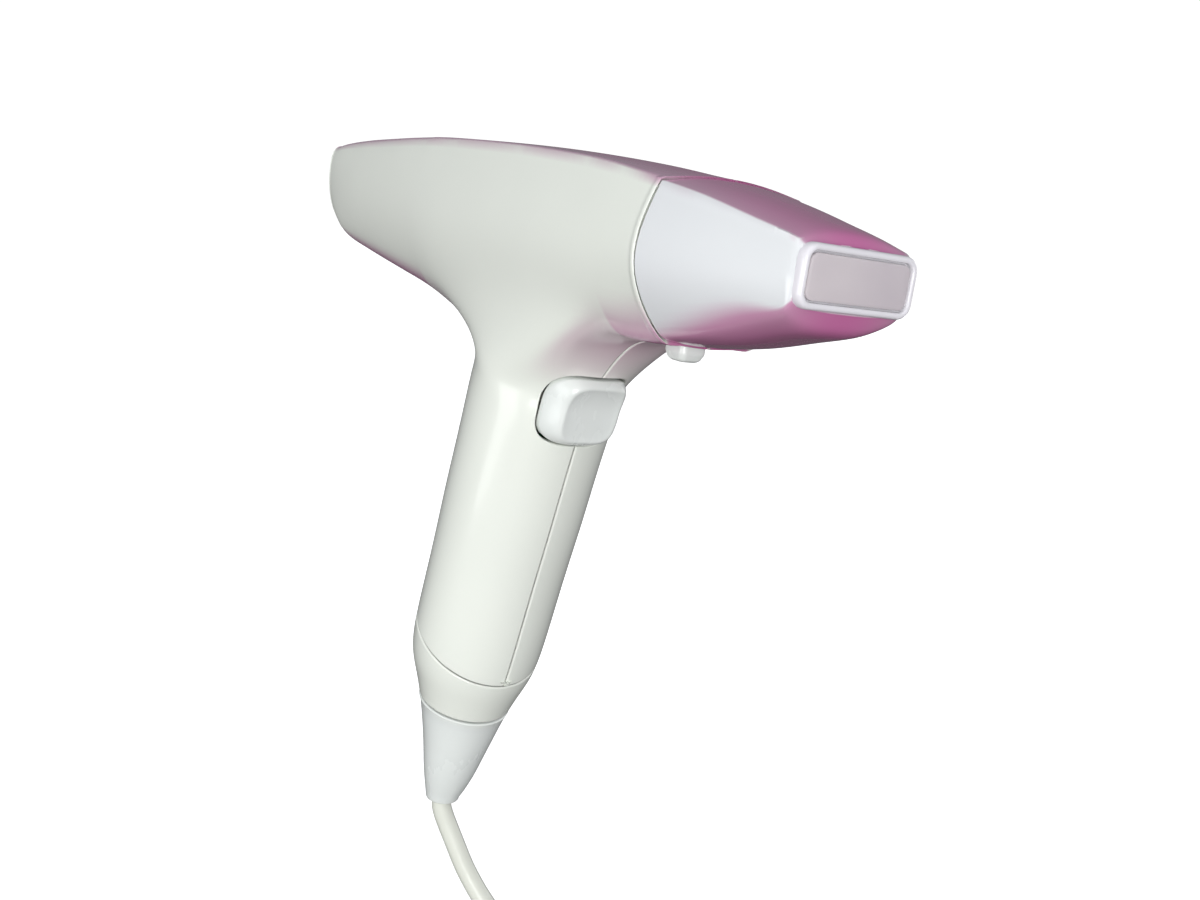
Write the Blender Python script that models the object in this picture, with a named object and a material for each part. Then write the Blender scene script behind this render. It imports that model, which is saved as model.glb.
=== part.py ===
"""IPL hair remover: a T-shaped handset with a snap-on lamp cartridge, a pulse trigger and a mains-adapter lead.

+X is forward (towards the skin), +Y is the handset's left side, +Z is up.
The origin is the middle of the grip.  Sizes are in millimetres, and MM turns them into metres.
"""
import math

import bmesh
import bpy
from mathutils import Matrix, Vector

MM = 0.001

# ---- driving dimensions (mm) ----
WALL = 2.0                    # housing wall
GAP = 0.3                     # between neighbouring solids
SLIVER = 0.05                 # shorter edges than this are merged after a cut
HEAD_X = 13.3                 # where the handle's axis meets the head's axis, seen from the grip's middle
HEAD_Z = 64.7
RAKE = math.radians(11.6)     # the handle leans back by this much
SEAM_X = 48.5                 # joint between housing and cartridge, in head coordinates
PLATE_X = 85.8                # front face of the window frame, in head coordinates
PLATE_HALF_WIDTH = 14.2
PLATE_HALF_HEIGHT = 5.7
CAP_S = 105.8                 # distances down the handle's axis: seam of the end cap,
CAP_TILT = math.radians(18.8) # the seam falls towards the front
BOOT_S = 124.0                # joint between end cap and boot,
EXIT_S = 154.0                # and the cord's exit,
EXIT_FORWARD = 3.0            # which lies this far forward of the axis
EXIT_Z = -151.0               # its height, in head coordinates
TRIGGER_S = 36.2              # middle of the trigger
TRIGGER_HALF_WIDTH = 10.0
TRIGGER_HALF_HEIGHT = 8.5
TRIGGER_PROUD = 2.4
RELEASE_X = 41.2              # middle of the release button, in head coordinates
RELEASE_HALF = 3.3
RELEASE_TIP_Z = -22.0
FAN_X = 18.5
FAN_Z = -2.2
FAN_HALF = 13.0
FAN_DEPTH = 9.0
CORD_RADIUS = 2.6
CORD_HEADING = math.radians(50.0)   # the cord hangs in an upright plane turned this far from +X
CORD_STEP = 11.0              # between points of the lead and the tail
COIL_RADIUS = 30.0            # middle of the turns
COIL_HALF_SECTION = 8.1       # half the breadth of the wound bundle, both ways
COIL_TOP = (1.5, -223.0)      # top of the outer turns, in the cord's plane
OUTER_TURN_RADIUS = 35.3
CURVE_SIDES = 24

# The cord's plane: (distance along its heading from the exit, height, both in head coordinates, side shift)
LEAD_ROUTE = (
    (0.0, -153.3, 0.0), (0.7, -155.6, 0.0), (2.2, -158.7, 0.0), (4.8, -163.3, -0.2), (8.7, -170.0, -0.6),
    (13.3, -176.1, -1.2), (18.6, -181.9, -2.0), (23.0, -188.5, -3.0), (25.2, -196.0, -4.0),
    (24.6, -204.5, -4.8), (20.9, -212.6, -5.2), (15.2, -218.2, -5.3),
)
TAIL_ROUTE = (
    (-20.0, -246.6, 11.2), (-21.6, -250.6, 12.4), (-22.8, -255.2, 13.3), (-23.2, -260.0, 13.6),
    (-23.2, -264.0, 13.6),
)

PIN_SPREAD = (-9.0, 0.0, 9.0)
# Screws run in from the left: (x, z, how far out the wall is) in the head, (s, forward, wall) in the handle
SCREWS_IN_HEAD = ((-90.5, 7.0, 16.9), (-34.5, 7.0, 19.8), (5.0, 8.0, 19.9))
SCREWS_IN_HANDLE = ((67.0, 1.0, 16.2), (97.0, 1.0, 15.6))

# Outer shape of the head, in head coordinates: one row for each station along X, with
# (x, half width, crown height, crease (y, z), belly height, lower corner (y, z), set-forward of the belly)
HEAD_STATIONS = (
    (-104.4, 17.2, 12.0, (16.8, 11.5), -11.0, (14.6, -8.8), 6.0),
    (-88.0, 19.0, 14.9, (17.5, 13.4), -14.6, (14.8, -12.4), 2.0),
    (-66.0, 20.2, 17.1, (18.1, 15.0), -18.0, (15.2, -14.6), 0.0),
    (-48.0, 21.2, 18.1, (18.4, 16.1), -21.3, (16.2, -15.8), 0.0),
    (-33.0, 21.7, 18.5, (18.5, 16.7), -25.0, (17.0, -17.8), 0.0),
    (-4.0, 22.0, 18.3, (18.6, 16.7), -27.0, (19.0, -16.4), 0.0),
    (23.0, 22.1, 17.2, (18.5, 15.7), -22.2, (17.0, -16.6), 0.0),
    (36.0, 22.1, 16.2, (18.5, 14.5), -19.4, (14.8, -16.4), 0.0),
    (SEAM_X + 1.0, 22.0, 15.2, (18.5, 12.9), -18.2, (13.5, -16.1), 0.0),
)
HOLE_FIRST = 4                # the handle grows out of the belly between these stations
HOLE_LAST = 6

# The nose keeps the seam's section and tapers to the window frame
NOSE_STATIONS = (
    (SEAM_X - 1.0, 22.0, 15.2, (18.5, 12.9), -18.2, (13.5, -16.1), 0.0),
    (60.0, 19.9, 13.1, (17.3, 11.0), -16.0, (13.3, -13.4), 0.0),
    (72.0, 17.3, 10.7, (15.8, 8.4), -12.9, (13.3, -9.8), 0.0),
    (80.2, 15.4, 8.9, (14.7, 6.7), -10.6, (13.5, -7.6), 0.0),
    (82.9, 14.8, 7.4, (14.1, 5.9), -8.3, (13.8, -6.2), 0.0),
    (83.9, 14.3, 5.9, (13.5, 5.0), -5.9, (13.4, -4.9), 0.0),
)

# Handle rings: (distance down the axis, radius along X, radius along Y, shift forward)
HANDLE_RINGS = (
    (30.5, 19.5, 18.9, -0.4),
    (38.0, 17.8, 17.9, 0.0),
    (52.0, 17.5, 17.5, 0.0),
    (68.0, 17.3, 17.3, 0.0),
    (84.0, 16.9, 16.9, 0.0),
    (100.0, 16.7, 16.7, 0.0),
    (111.0, 16.0, 16.0, 0.1),
    (118.0, 13.9, 13.9, 0.6),
    (126.0, 11.3, 11.3, 1.3),
    (136.0, 8.8, 8.8, 2.3),
    (146.0, 6.6, 6.6, 2.9),
    (EXIT_S, 4.3, 4.3, EXIT_FORWARD),
)


# ---- placing ----
def head(x, y, z):
    """A point in head coordinates: the origin is where the handle's axis meets the head's axis."""
    return Vector((x + HEAD_X, y, z + HEAD_Z)) * MM


def handle_frame(s, forward=0.0):
    """A frame on the handle's axis: its X points forward out of the handle, its Z up along the axis."""
    up = Vector((math.sin(RAKE), 0.0, math.cos(RAKE)))
    out = Vector((math.cos(RAKE), 0.0, -math.sin(RAKE)))
    side = Vector((0.0, 1.0, 0.0))
    place = head(0.0, 0.0, 0.0) - up * s * MM + out * forward * MM
    frame = Matrix((out, side, up)).transposed().to_4x4()
    frame.translation = place
    return frame


def head_frame(x, y, z, roll_axis="Z", angle=0.0):
    """A frame in head coordinates, turned by an angle in degrees."""
    return Matrix.Translation(head(x, y, z)) @ Matrix.Rotation(math.radians(angle), 4, roll_axis)


# ---- materials ----
def material(name, colour, roughness, metallic=0.0):
    made = bpy.data.materials.get(name)
    if made:
        return made
    made = bpy.data.materials.new(name)
    made.use_nodes = True
    shader = made.node_tree.nodes["Principled BSDF"]
    shader.inputs["Base Color"].default_value = (*colour, 1.0)
    shader.inputs["Roughness"].default_value = roughness
    shader.inputs["Metallic"].default_value = metallic
    return made


SHELL = ("shell_white", (0.80, 0.82, 0.77), 0.22)
TRIM = ("trim_white", (0.84, 0.86, 0.84), 0.28)
NOSE = ("nose_white", (0.80, 0.81, 0.84), 0.20)
PANE = ("window_pane", (0.60, 0.58, 0.62), 0.12)
GLASS = ("filter_glass", (0.75, 0.42, 0.18), 0.05)
QUARTZ = ("lamp_quartz", (0.82, 0.84, 0.88), 0.05)
REFLECTOR = ("reflector_aluminium", (0.80, 0.81, 0.83), 0.12, 1.0)
STEEL = ("steel", (0.60, 0.60, 0.62), 0.30, 1.0)
BRASS = ("contact_brass", (0.78, 0.60, 0.28), 0.28, 1.0)
NATURAL = ("inner_plastic", (0.72, 0.71, 0.66), 0.50)
DARK = ("dark_plastic", (0.04, 0.04, 0.045), 0.45)
CERAMIC = ("ceramic", (0.85, 0.83, 0.78), 0.55)
SLEEVE = ("capacitor_sleeve", (0.05, 0.09, 0.22), 0.35)
BOARD = ("circuit_board", (0.04, 0.20, 0.09), 0.45)
CORD = ("cord_vinyl", (0.78, 0.79, 0.70), 0.42)


# ---- building ----
def put_in_scene(name, mesh, look, origin=None):
    """Make an object from a mesh in world coordinates, and set its origin."""
    body = bpy.data.objects.new(name, mesh)
    bpy.context.scene.collection.objects.link(body)
    mesh.materials.clear()
    mesh.materials.append(material(*look))
    if origin is not None:
        mesh.transform(Matrix.Translation(-origin))
        body.location = origin
    return body


def finish_mesh(name, work, frame=None, smooth_angle=35.0):
    """Close a bmesh made in millimetres: scale it, place it and shade it smooth."""
    bmesh.ops.remove_doubles(work, verts=work.verts, dist=1e-5)
    bmesh.ops.recalc_face_normals(work, faces=work.faces)
    work.transform(Matrix.Scale(MM, 4))
    if frame is not None:
        work.transform(frame)
    mesh = bpy.data.meshes.new(name)
    work.to_mesh(mesh)
    work.free()
    mesh.shade_smooth()
    mesh.set_sharp_from_angle(angle=math.radians(smooth_angle))
    return mesh


def loft(work, rings, closed_ends=True):
    """Skin a list of equal closed rings of points, with flat ends."""
    made = [[work.verts.new(point) for point in ring] for ring in rings]
    count = len(rings[0])
    for near, far in zip(made, made[1:]):
        for i in range(count):
            j = (i + 1) % count
            work.faces.new((near[i], near[j], far[j], far[i]))
    if closed_ends:
        work.faces.new(made[0][::-1])
        work.faces.new(made[-1])
    return made


def circle(radius, count, z):
    steps = [2 * math.pi * i / count for i in range(count)]
    return [Vector((radius * math.cos(a), radius * math.sin(a), z)) for a in steps]


def turned(name, profile, frame, look, sides=16, bore=0.0, origin=None):
    """A turned piece: profile is (radius, z) up the outside; a bore makes it a tube."""
    work = bmesh.new()
    rings = [circle(radius, sides, z) for radius, z in profile]
    if bore:
        rings.append(circle(bore, sides, profile[-1][1]))
        rings.append(circle(bore, sides, profile[0][1]))
        rings.append(circle(profile[0][0], sides, profile[0][1]))
    loft(work, rings, closed_ends=not bore)
    return put_in_scene(name, finish_mesh(name, work, frame), look, origin)


def block(name, size, frame, look, bevel=0.0, origin=None):
    """A box with its middle on the frame, and bevelled edges."""
    work = bmesh.new()
    bmesh.ops.create_cube(work, size=1.0)
    bmesh.ops.scale(work, vec=Vector(size), verts=work.verts)
    if bevel:
        bmesh.ops.bevel(work, geom=work.edges, offset=bevel, segments=1, affect="EDGES")
    return put_in_scene(name, finish_mesh(name, work, frame), look, origin)


def rounded_outline(half_width, half_height, corner, steps=4):
    """Points (u, v) round a rectangle with round corners."""
    points = []
    for quarter, (su, sv) in enumerate(((1, 1), (-1, 1), (-1, -1), (1, -1))):
        for i in range(steps + 1):
            a = math.pi / 2 * (quarter + i / steps)
            u = su * (half_width - corner) + corner * math.cos(a)
            v = sv * (half_height - corner) + corner * math.sin(a)
            points.append((u, v))
    return points


def plate(name, outline, low, high, frame, look, hole=None, origin=None):
    """An outline (u, v) in the frame's XY plane, extruded from low to high; a hole makes it a ring."""
    work = bmesh.new()
    rings = [[Vector((u, v, z)) for u, v in outline] for z in (low, high)]
    if hole:
        rings.append([Vector((u, v, high)) for u, v in hole])
        rings.append([Vector((u, v, low)) for u, v in hole])
        rings.append(rings[0])
    loft(work, rings, closed_ends=not hole)
    return put_in_scene(name, finish_mesh(name, work, frame), look, origin)


def carve(body, cutter, operation="DIFFERENCE"):
    """Apply one exact Boolean, and remove the cutter."""
    step = body.modifiers.new("carve", "BOOLEAN")
    step.operation = operation
    step.object = cutter
    bake(body)
    bpy.data.objects.remove(cutter)
    body.data.shade_smooth()
    body.data.set_sharp_from_angle(angle=math.radians(35.0))


def bake(body):
    """Put the evaluated mesh in place of the modifiers."""
    seen = body.evaluated_get(bpy.context.evaluated_depsgraph_get())
    mesh = bpy.data.meshes.new_from_object(seen)
    look = body.data.materials[0]
    body.modifiers.clear()
    body.data = mesh
    mesh.materials.clear()
    mesh.materials.append(look)
    work = bmesh.new()
    work.from_mesh(mesh)
    bmesh.ops.triangulate(work, faces=[face for face in work.faces if len(face.verts) > 4])
    bmesh.ops.remove_doubles(work, verts=work.verts, dist=SLIVER * MM)
    bmesh.ops.dissolve_degenerate(work, edges=work.edges, dist=SLIVER * MM)
    work.to_mesh(mesh)
    work.free()


def mirrored(name, body):
    """A copy on the other side of the handset's middle plane."""
    mesh = body.data.copy()
    mesh.transform(Matrix.Diagonal((1.0, -1.0, 1.0, 1.0)))
    mesh.flip_normals()
    twin = bpy.data.objects.new(name, mesh)
    bpy.context.scene.collection.objects.link(twin)
    return twin


def facing_x(x, y, z):
    """A frame whose Z points forward along the head, for turned pieces that lie along X."""
    return head_frame(x, y, z, "Y", 90.0)


def facing_y(x, y, z):
    """A frame whose Z points to the left, for turned pieces that lie along Y."""
    return head_frame(x, y, z, "X", -90.0)


# ---- outer skin ----
def head_section(station):
    """Twelve points round one section of the head, from the belly's middle over the +Y side."""
    x, half_width, crown, crease, belly, low, set_forward = station
    crease_y, crease_z = crease
    low_y, low_z = low
    side = [
        (0.56 * low_y, belly + 0.16 * (low_z - belly)),
        (low_y, low_z),
        (half_width, 0.5 * (crease_z + low_z) - 1.5),
        (crease_y, crease_z),
        (0.52 * crease_y, crown - 0.26 * (crown - crease_z)),
    ]
    outline = [(0.0, belly)] + side + [(0.0, crown)] + [(-y, z) for y, z in reversed(side)]
    return [head(x + set_forward * max(0.0, z / belly), y, z) for y, z in outline]


def handle_ring(s, radius_x, radius_y, forward):
    frame = handle_frame(s, forward)
    steps = [2 * math.pi * i / 12 for i in range(12)]
    ring = [Vector((radius_x * math.cos(a), radius_y * math.sin(a), 0.0)) * MM for a in steps]
    return [frame @ point for point in ring]


def settle_cage(mesh, wanted, rounds=6):
    """Move the cage's corners until the subdivided surface passes through the wanted points."""
    probe = bpy.data.objects.new("probe", mesh)
    bpy.context.scene.collection.objects.link(probe)
    smooth = probe.modifiers.new("smooth", "SUBSURF")
    smooth.levels = 2
    smooth.render_levels = 2
    for _ in range(rounds):
        mesh.update()
        seen = probe.evaluated_get(bpy.context.evaluated_depsgraph_get())
        now = [vertex.co.copy() for vertex in seen.data.vertices[:len(wanted)]]
        for vertex, target, reached in zip(mesh.vertices, wanted, now):
            vertex.co += target - reached
    bpy.data.objects.remove(probe)


def new_cage():
    """An empty cage, and the layer that holds how sharp its edges are."""
    work = bmesh.new()
    return work, work.edges.layers.float.new("crease_edge")


def cage_mesh(name, work):
    """Turn a bmesh cage into a mesh whose subdivided surface passes through the cage's points."""
    work.verts.index_update()
    wanted = [vertex.co.copy() for vertex in work.verts]
    bmesh.ops.recalc_face_normals(work, faces=work.faces)
    mesh = bpy.data.meshes.new(name)
    work.to_mesh(mesh)
    work.free()
    settle_cage(mesh, wanted)
    return mesh


def housing_cage():
    """The head and the handle as one open surface: open at the seam and at the handle's foot."""
    work, crease = new_cage()
    rings = [[work.verts.new(point) for point in head_section(station)] for station in HEAD_STATIONS]
    for k, (near, far) in enumerate(zip(rings, rings[1:])):
        for i in range(12):
            j = (i + 1) % 12
            in_hole = HOLE_FIRST <= k < HOLE_LAST and i in (10, 11, 0, 1)
            if not in_hole:
                work.faces.new((near[i], near[j], far[j], far[i]))
    rear_middle = sum((vertex.co for vertex in rings[0]), Vector()) / 12
    inner = [work.verts.new(rear_middle.lerp(vertex.co, 0.6) + Vector((-0.6, 0, 0)) * MM) for vertex in rings[0]]
    for i in range(12):
        j = (i + 1) % 12
        work.faces.new((inner[i], inner[j], rings[0][j], rings[0][i]))
    work.faces.new(inner[::-1])
    first, middle, last = rings[HOLE_FIRST:HOLE_LAST + 1]
    mouth = [last[0], last[1], last[2], middle[2], first[2], first[1],
             first[0], first[11], first[10], middle[10], last[10], last[11]]
    inner_belly = (middle[0], middle[1], middle[11])
    for vertex in inner_belly:
        work.verts.remove(vertex)
    above = mouth
    for ring in HANDLE_RINGS:
        below = [work.verts.new(point) for point in handle_ring(*ring)]
        for i in range(12):
            j = (i + 1) % 12
            work.faces.new((above[i], above[j], below[j], below[i]))
        above = below
    for k in range(len(rings) - 1):
        sharpness = 0.25 + 0.45 * k / (len(rings) - 2)
        for i in (4, 8):
            work.edges.get((rings[k][i], rings[k + 1][i]))[crease] = sharpness
    for i in range(12):
        work.edges.get((rings[0][i], rings[0][(i + 1) % 12]))[crease] = 0.85
    return cage_mesh("housing_cage", work)


def nose_cage():
    """The cartridge's outer surface, open at both ends."""
    work, crease = new_cage()
    rings = loft(work, [head_section(station) for station in NOSE_STATIONS], closed_ends=False)
    for near, far in zip(rings, rings[1:]):
        for i in (4, 8):
            work.edges.get((near[i], far[i]))[crease] = 1.0
        for i in (2, 10):
            work.edges.get((near[i], far[i]))[crease] = 0.35
    return cage_mesh("nose_cage", work)


def walled(name, cage, look, thickness, level=1):
    """Subdivide a cage and give it a wall on its inner side."""
    body = put_in_scene(name, cage, look)
    smooth = body.modifiers.new("smooth", "SUBSURF")
    smooth.levels = level
    smooth.render_levels = level
    wall = body.modifiers.new("wall", "SOLIDIFY")
    wall.thickness = thickness * MM
    wall.offset = -1.0
    bake(body)
    return body


def half_space(frame, side):
    """A big box that fills one side (+1 or -1) of a frame's XY plane, and half a gap beyond it."""
    reach = 400.0
    sunk = Matrix.Translation((0, 0, side * (reach / 2 - GAP / 2) * MM))
    return block("half_space", (reach, reach, reach), frame @ sunk, SHELL)


def squircle(half_u, half_v, power=4.0, count=CURVE_SIDES):
    """A rounded square outline."""
    points = []
    for i in range(count):
        a = 2 * math.pi * i / count
        c, s = math.cos(a), math.sin(a)
        r = (abs(c) ** power + abs(s) ** power) ** (-1.0 / power)
        points.append((half_u * r * c, half_v * r * s))
    return points


# ---- the cord's geometry ----
def cord_point(t, z, side):
    """A point in the cord's plane, in head coordinates."""
    exit_x = EXIT_FORWARD * math.cos(RAKE) - EXIT_S * math.sin(RAKE)
    along = Vector((math.cos(CORD_HEADING), math.sin(CORD_HEADING), 0.0))
    across = Vector((-math.sin(CORD_HEADING), math.cos(CORD_HEADING), 0.0))
    flat = along * t + across * side
    return head(exit_x + flat.x, flat.y, z)


def cord_frame(t, z, side):
    """A frame in the cord's plane: X along the heading, Y up, Z across the plane."""
    along = Vector((math.cos(CORD_HEADING), math.sin(CORD_HEADING), 0.0))
    frame = Matrix((along, Vector((0, 0, 1)), along.cross(Vector((0, 0, 1))))).transposed().to_4x4()
    frame.translation = cord_point(t, z, side)
    return frame


def smooth_route(route, step):
    """Points at about equal steps along a Catmull-Rom curve through the route's points."""
    points = [cord_point(*stop) for stop in route]
    ends = [points[0] * 2 - points[1]] + points + [points[-1] * 2 - points[-2]]
    fine = []
    for a, b, c, d in zip(ends, ends[1:], ends[2:], ends[3:]):
        for i in range(12):
            u = i / 12
            fine.append(0.5 * (2 * b + (c - a) * u + (2 * a - 5 * b + 4 * c - d) * u ** 2
                               + (3 * b - a - 3 * c + d) * u ** 3))
    fine.append(points[-1])
    run = [0.0]
    for a, b in zip(fine, fine[1:]):
        run.append(run[-1] + (b - a).length)
    count = max(3, round(run[-1] / (step * MM)))
    picked = []
    k = 0
    for i in range(count + 1):
        goal = run[-1] * i / count
        while k < len(run) - 2 and run[k + 1] < goal:
            k += 1
        share = (goal - run[k]) / (run[k + 1] - run[k])
        picked.append(fine[k].lerp(fine[k + 1], min(1.0, share)))
    return picked


def cord_tube(name, route):
    """A stretch of cord: a round tube with filled caps."""
    curve = bpy.data.curves.new(name, "CURVE")
    curve.dimensions = "3D"
    curve.bevel_depth = CORD_RADIUS * MM
    curve.bevel_resolution = 3
    curve.resolution_u = 1
    curve.render_resolution_u = 0
    curve.use_fill_caps = True
    points = smooth_route(route, CORD_STEP)
    spline = curve.splines.new("POLY")
    spline.points.add(len(points) - 1)
    for spot, point in zip(spline.points, points):
        spot.co = (*point, 1.0)
    curve.materials.append(material(*CORD))
    tube = bpy.data.objects.new(name, curve)
    bpy.context.scene.collection.objects.link(tube)
    return tube


def handle_front(y, v):
    """How far forward the handle's skin is at side y, v above the trigger's middle, along the trigger frame's X."""
    radius = 17.8
    return math.sqrt(max(0.0, radius * radius - y * y)) + 0.018 * max(0.0, v) ** 2


def conforming(name, levels, look, origin=None):
    """A plug shaped to the handle's front. Each level is (half width, half height, distance out from the skin,
    how flat across: 0 follows the skin, 1 is level with the middle)."""
    work = bmesh.new()
    rings = []
    for half_u, half_v, out, flat in levels:
        outline = squircle(half_u, half_v)
        rings.append([Vector((handle_front(u * (1.0 - flat), v) + out, u, v)) for u, v in outline])
    loft(work, rings)
    return put_in_scene(name, finish_mesh(name, work, handle_frame(TRIGGER_S)), look, origin)


# ---- the housing ----
def rear_grille_outline(margin=0.0):
    return rounded_outline(7.0 - margin, 10.5 - margin, 4.5 - margin)


def make_housing():
    skin = walled("right_shell", housing_cage(), SHELL, WALL)
    cap_frame = handle_frame(CAP_S) @ Matrix.Rotation(CAP_TILT, 4, "Y")
    cap_source = skin.copy()
    cap_source.data = skin.data.copy()
    bpy.context.scene.collection.objects.link(cap_source)
    carve(skin, half_space(cap_frame, -1))
    carve(skin, half_space(facing_x(SEAM_X, 0.0, 0.0), 1))
    rear_cut = plate("rear_cut", rear_grille_outline(), -10.0, 10.0, facing_x(-105.0, 0.0, 0.5), SHELL)
    carve(skin, rear_cut)
    trigger_hole = conforming("trigger_hole", (
        (TRIGGER_HALF_WIDTH + 0.5, TRIGGER_HALF_HEIGHT + 0.5, -6.0, 0.0),
        (TRIGGER_HALF_WIDTH + 0.5, TRIGGER_HALF_HEIGHT + 0.5, 6.0, 0.0)), SHELL)
    carve(skin, trigger_hole)
    release_hole = plate("release_hole", rounded_outline(RELEASE_HALF + 0.4, RELEASE_HALF + 0.4, 1.5, 2), -8.0, 8.0,
                         head_frame(RELEASE_X, 0.0, -18.5), SHELL)
    carve(skin, release_hole)
    carve(skin, half_space(Matrix.Rotation(math.radians(-90.0), 4, "X"), 1))
    left = mirrored("left_shell", skin)
    cap = cap_source
    cap.name = "handle_end_cap"
    carve(cap, half_space(cap_frame, 1))
    carve(cap, half_space(handle_frame(BOOT_S), -1))
    return skin, left


def make_boot():
    """The strain relief: a solid taper from the end cap's foot to the cord."""
    work = bmesh.new()
    levels = [(BOOT_S + GAP, 11.9, 0.9)] + [(s, rx, f) for s, rx, _, f in HANDLE_RINGS[:-1] if s > BOOT_S + 1]
    rings = []
    for s, radius, forward in levels:
        frame = handle_frame(s, forward)
        rings.append([frame @ (point * MM) for point in circle(radius, CURVE_SIDES, 0.0)])
    for radius, drop in ((4.6, 0.0), (4.0, 0.9)):
        rings.append([cord_point(0.0, EXIT_Z - drop, 0.0) + point * MM for point in circle(radius, CURVE_SIDES, 0.0)])
    loft(work, rings)
    work.transform(Matrix.Scale(1 / MM, 4))
    put_in_scene("cord_boot", finish_mesh("cord_boot", work), TRIM)


def add_posts(right, left):
    """Screw posts on the right shell, and recessed bosses on the left one; returns where the screws go."""
    spots = []
    for x, z, wall_y in SCREWS_IN_HEAD:
        spots.append((facing_y(x, 0.0, z), wall_y))
    for s, forward, wall_y in SCREWS_IN_HANDLE:
        turn = Matrix.Rotation(math.radians(-90.0), 4, "X")
        spots.append((handle_frame(s, forward) @ turn, wall_y))
    for frame, wall_y in spots:
        post = turned("post", [(2.8, -wall_y), (2.8, -0.5)], frame, SHELL)
        carve(right, post, "UNION")
        carve(right, turned("pilot", [(1.3, -10.0), (1.3, 1.0)], frame, SHELL, 12))
        boss = turned("boss", [(3.9, 0.5), (3.9, wall_y)], frame, SHELL)
        carve(left, boss, "UNION")
        carve(left, turned("recess", [(2.9, 4.0), (2.9, wall_y + 6.0)], frame, SHELL))
        carve(left, turned("clearance", [(1.6, -1.0), (1.6, 5.0)], frame, SHELL, 12))
    return [frame for frame, _ in spots]


def make_screws(frames):
    for number, frame in enumerate(frames, 1):
        name = f"housing_screw_{number}"
        profile = [(1.05, -8.0), (1.05, 4.3), (2.6, 4.3), (2.6, 5.4), (1.9, 6.1)]
        screw = turned(name, profile, frame, STEEL, 12)
        slot = block("slot", (0.7, 3.2, 1.6), frame @ Matrix.Translation((0, 0, 6.1 * MM)), STEEL)
        cross = block("cross", (3.2, 0.7, 1.6), frame @ Matrix.Translation((0, 0, 6.1 * MM)), STEEL)
        carve(screw, slot)
        carve(screw, cross)


def make_rear_grille():
    """The vent insert in the rear end: a rounded plate with slots right through it."""
    frame = facing_x(-104.6, 0.0, 0.5)
    grille = plate("rear_grille", rear_grille_outline(0.35), 0.0, 2.6, frame, TRIM)
    for i in range(5):
        v = (i - 2) * 3.6
        spot = frame @ Matrix.Translation((0, v * MM, 0))
        carve(grille, block("slot", (9.6, 1.6, 12.0), spot, TRIM))


def make_trigger():
    """The pulse button, with a stem for the switch and two lugs that keep it in the shells."""
    half_u = TRIGGER_HALF_WIDTH
    half_v = TRIGGER_HALF_HEIGHT
    frame = handle_frame(TRIGGER_S)
    middle = frame @ Vector((16.0 * MM, 0.0, 0.0))
    trigger = conforming("trigger_button", (
        (half_u, half_v, -6.5, 0.0),
        (half_u, half_v, 0.5, 0.0),
        (half_u - 0.7, half_v - 0.4, 1.3, 0.15),
        (half_u - 2.5, half_v - 1.4, TRIGGER_PROUD, 0.9),
        (half_u - 3.4, half_v - 2.2, TRIGGER_PROUD + 0.1, 1.0)), TRIM)
    carve(trigger, block("flat_back", (12.0, 30.0, 30.0), frame @ Matrix.Translation((7.0 * MM, 0, 0)), TRIM))
    stem_frame = frame @ Matrix.Translation((0, 0, -3.0 * MM)) @ Matrix.Rotation(math.radians(90.0), 4, "Y")
    carve(trigger, turned("stem", [(1.6, 12.6), (1.6, 14.0)], stem_frame, TRIM, 12), "UNION")
    for end in (-1, 1):
        lug = block("lug", (1.5, 6.0, 3.4), frame @ Matrix.Translation((14.2 * MM, 0, end * 8.8 * MM)), TRIM)
        carve(trigger, lug, "UNION")
    trigger.data.transform(Matrix.Translation(-middle))
    trigger.location = middle


def make_switch():
    """The microswitch behind the trigger, its bracket, its plunger and the return spring."""
    frame = handle_frame(TRIGGER_S)
    body_at = frame @ Matrix.Translation((7.7 * MM, 0, -3.4 * MM))
    body = block("microswitch_body", (6.8, 5.8, 10.4), body_at, DARK, 0.4)
    along = frame @ Matrix.Translation((0, 0, -3.0 * MM)) @ Matrix.Rotation(math.radians(90.0), 4, "Y")
    carve(body, turned("plunger_bore", [(1.35, 8.4), (1.35, 13.0)], along, DARK, 12))
    turned("switch_plunger", [(1.0, 9.9), (1.0, 12.0), (0.7, 12.3)], along, BRASS, 12,
           origin=along @ Vector((0, 0, 11.0 * MM)))
    block("switch_bracket", (1.5, 17.0, 23.0), frame @ Matrix.Translation((3.2 * MM, 0, -0.5 * MM)), NATURAL, 0.3)
    spring_at = frame @ Matrix.Translation((4.25 * MM, 0, 5.6 * MM)) @ Matrix.Rotation(math.radians(90.0), 4, "Y")
    spring("trigger_spring", spring_at, 1.9, 8.4, 5)


def spring(name, frame, radius, length, turns):
    """A compression spring as one swept wire along the frame's Z."""
    wire = 0.28
    work = bmesh.new()
    count = turns * 12
    rings = []
    rise = length - 2 * wire
    for i in range(count + 1):
        a = 2 * math.pi * i / 12
        out = Vector((math.cos(a), math.sin(a), 0.0))
        middle = out * radius + Vector((0, 0, wire + rise * i / count))
        rings.append([middle + wire * (out * math.cos(b) + Vector((0, 0, math.sin(b))))
                      for b in (0.0, 2.094, 4.189)])
    loft(work, rings)
    put_in_scene(name, finish_mesh(name, work, frame), STEEL)


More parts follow.
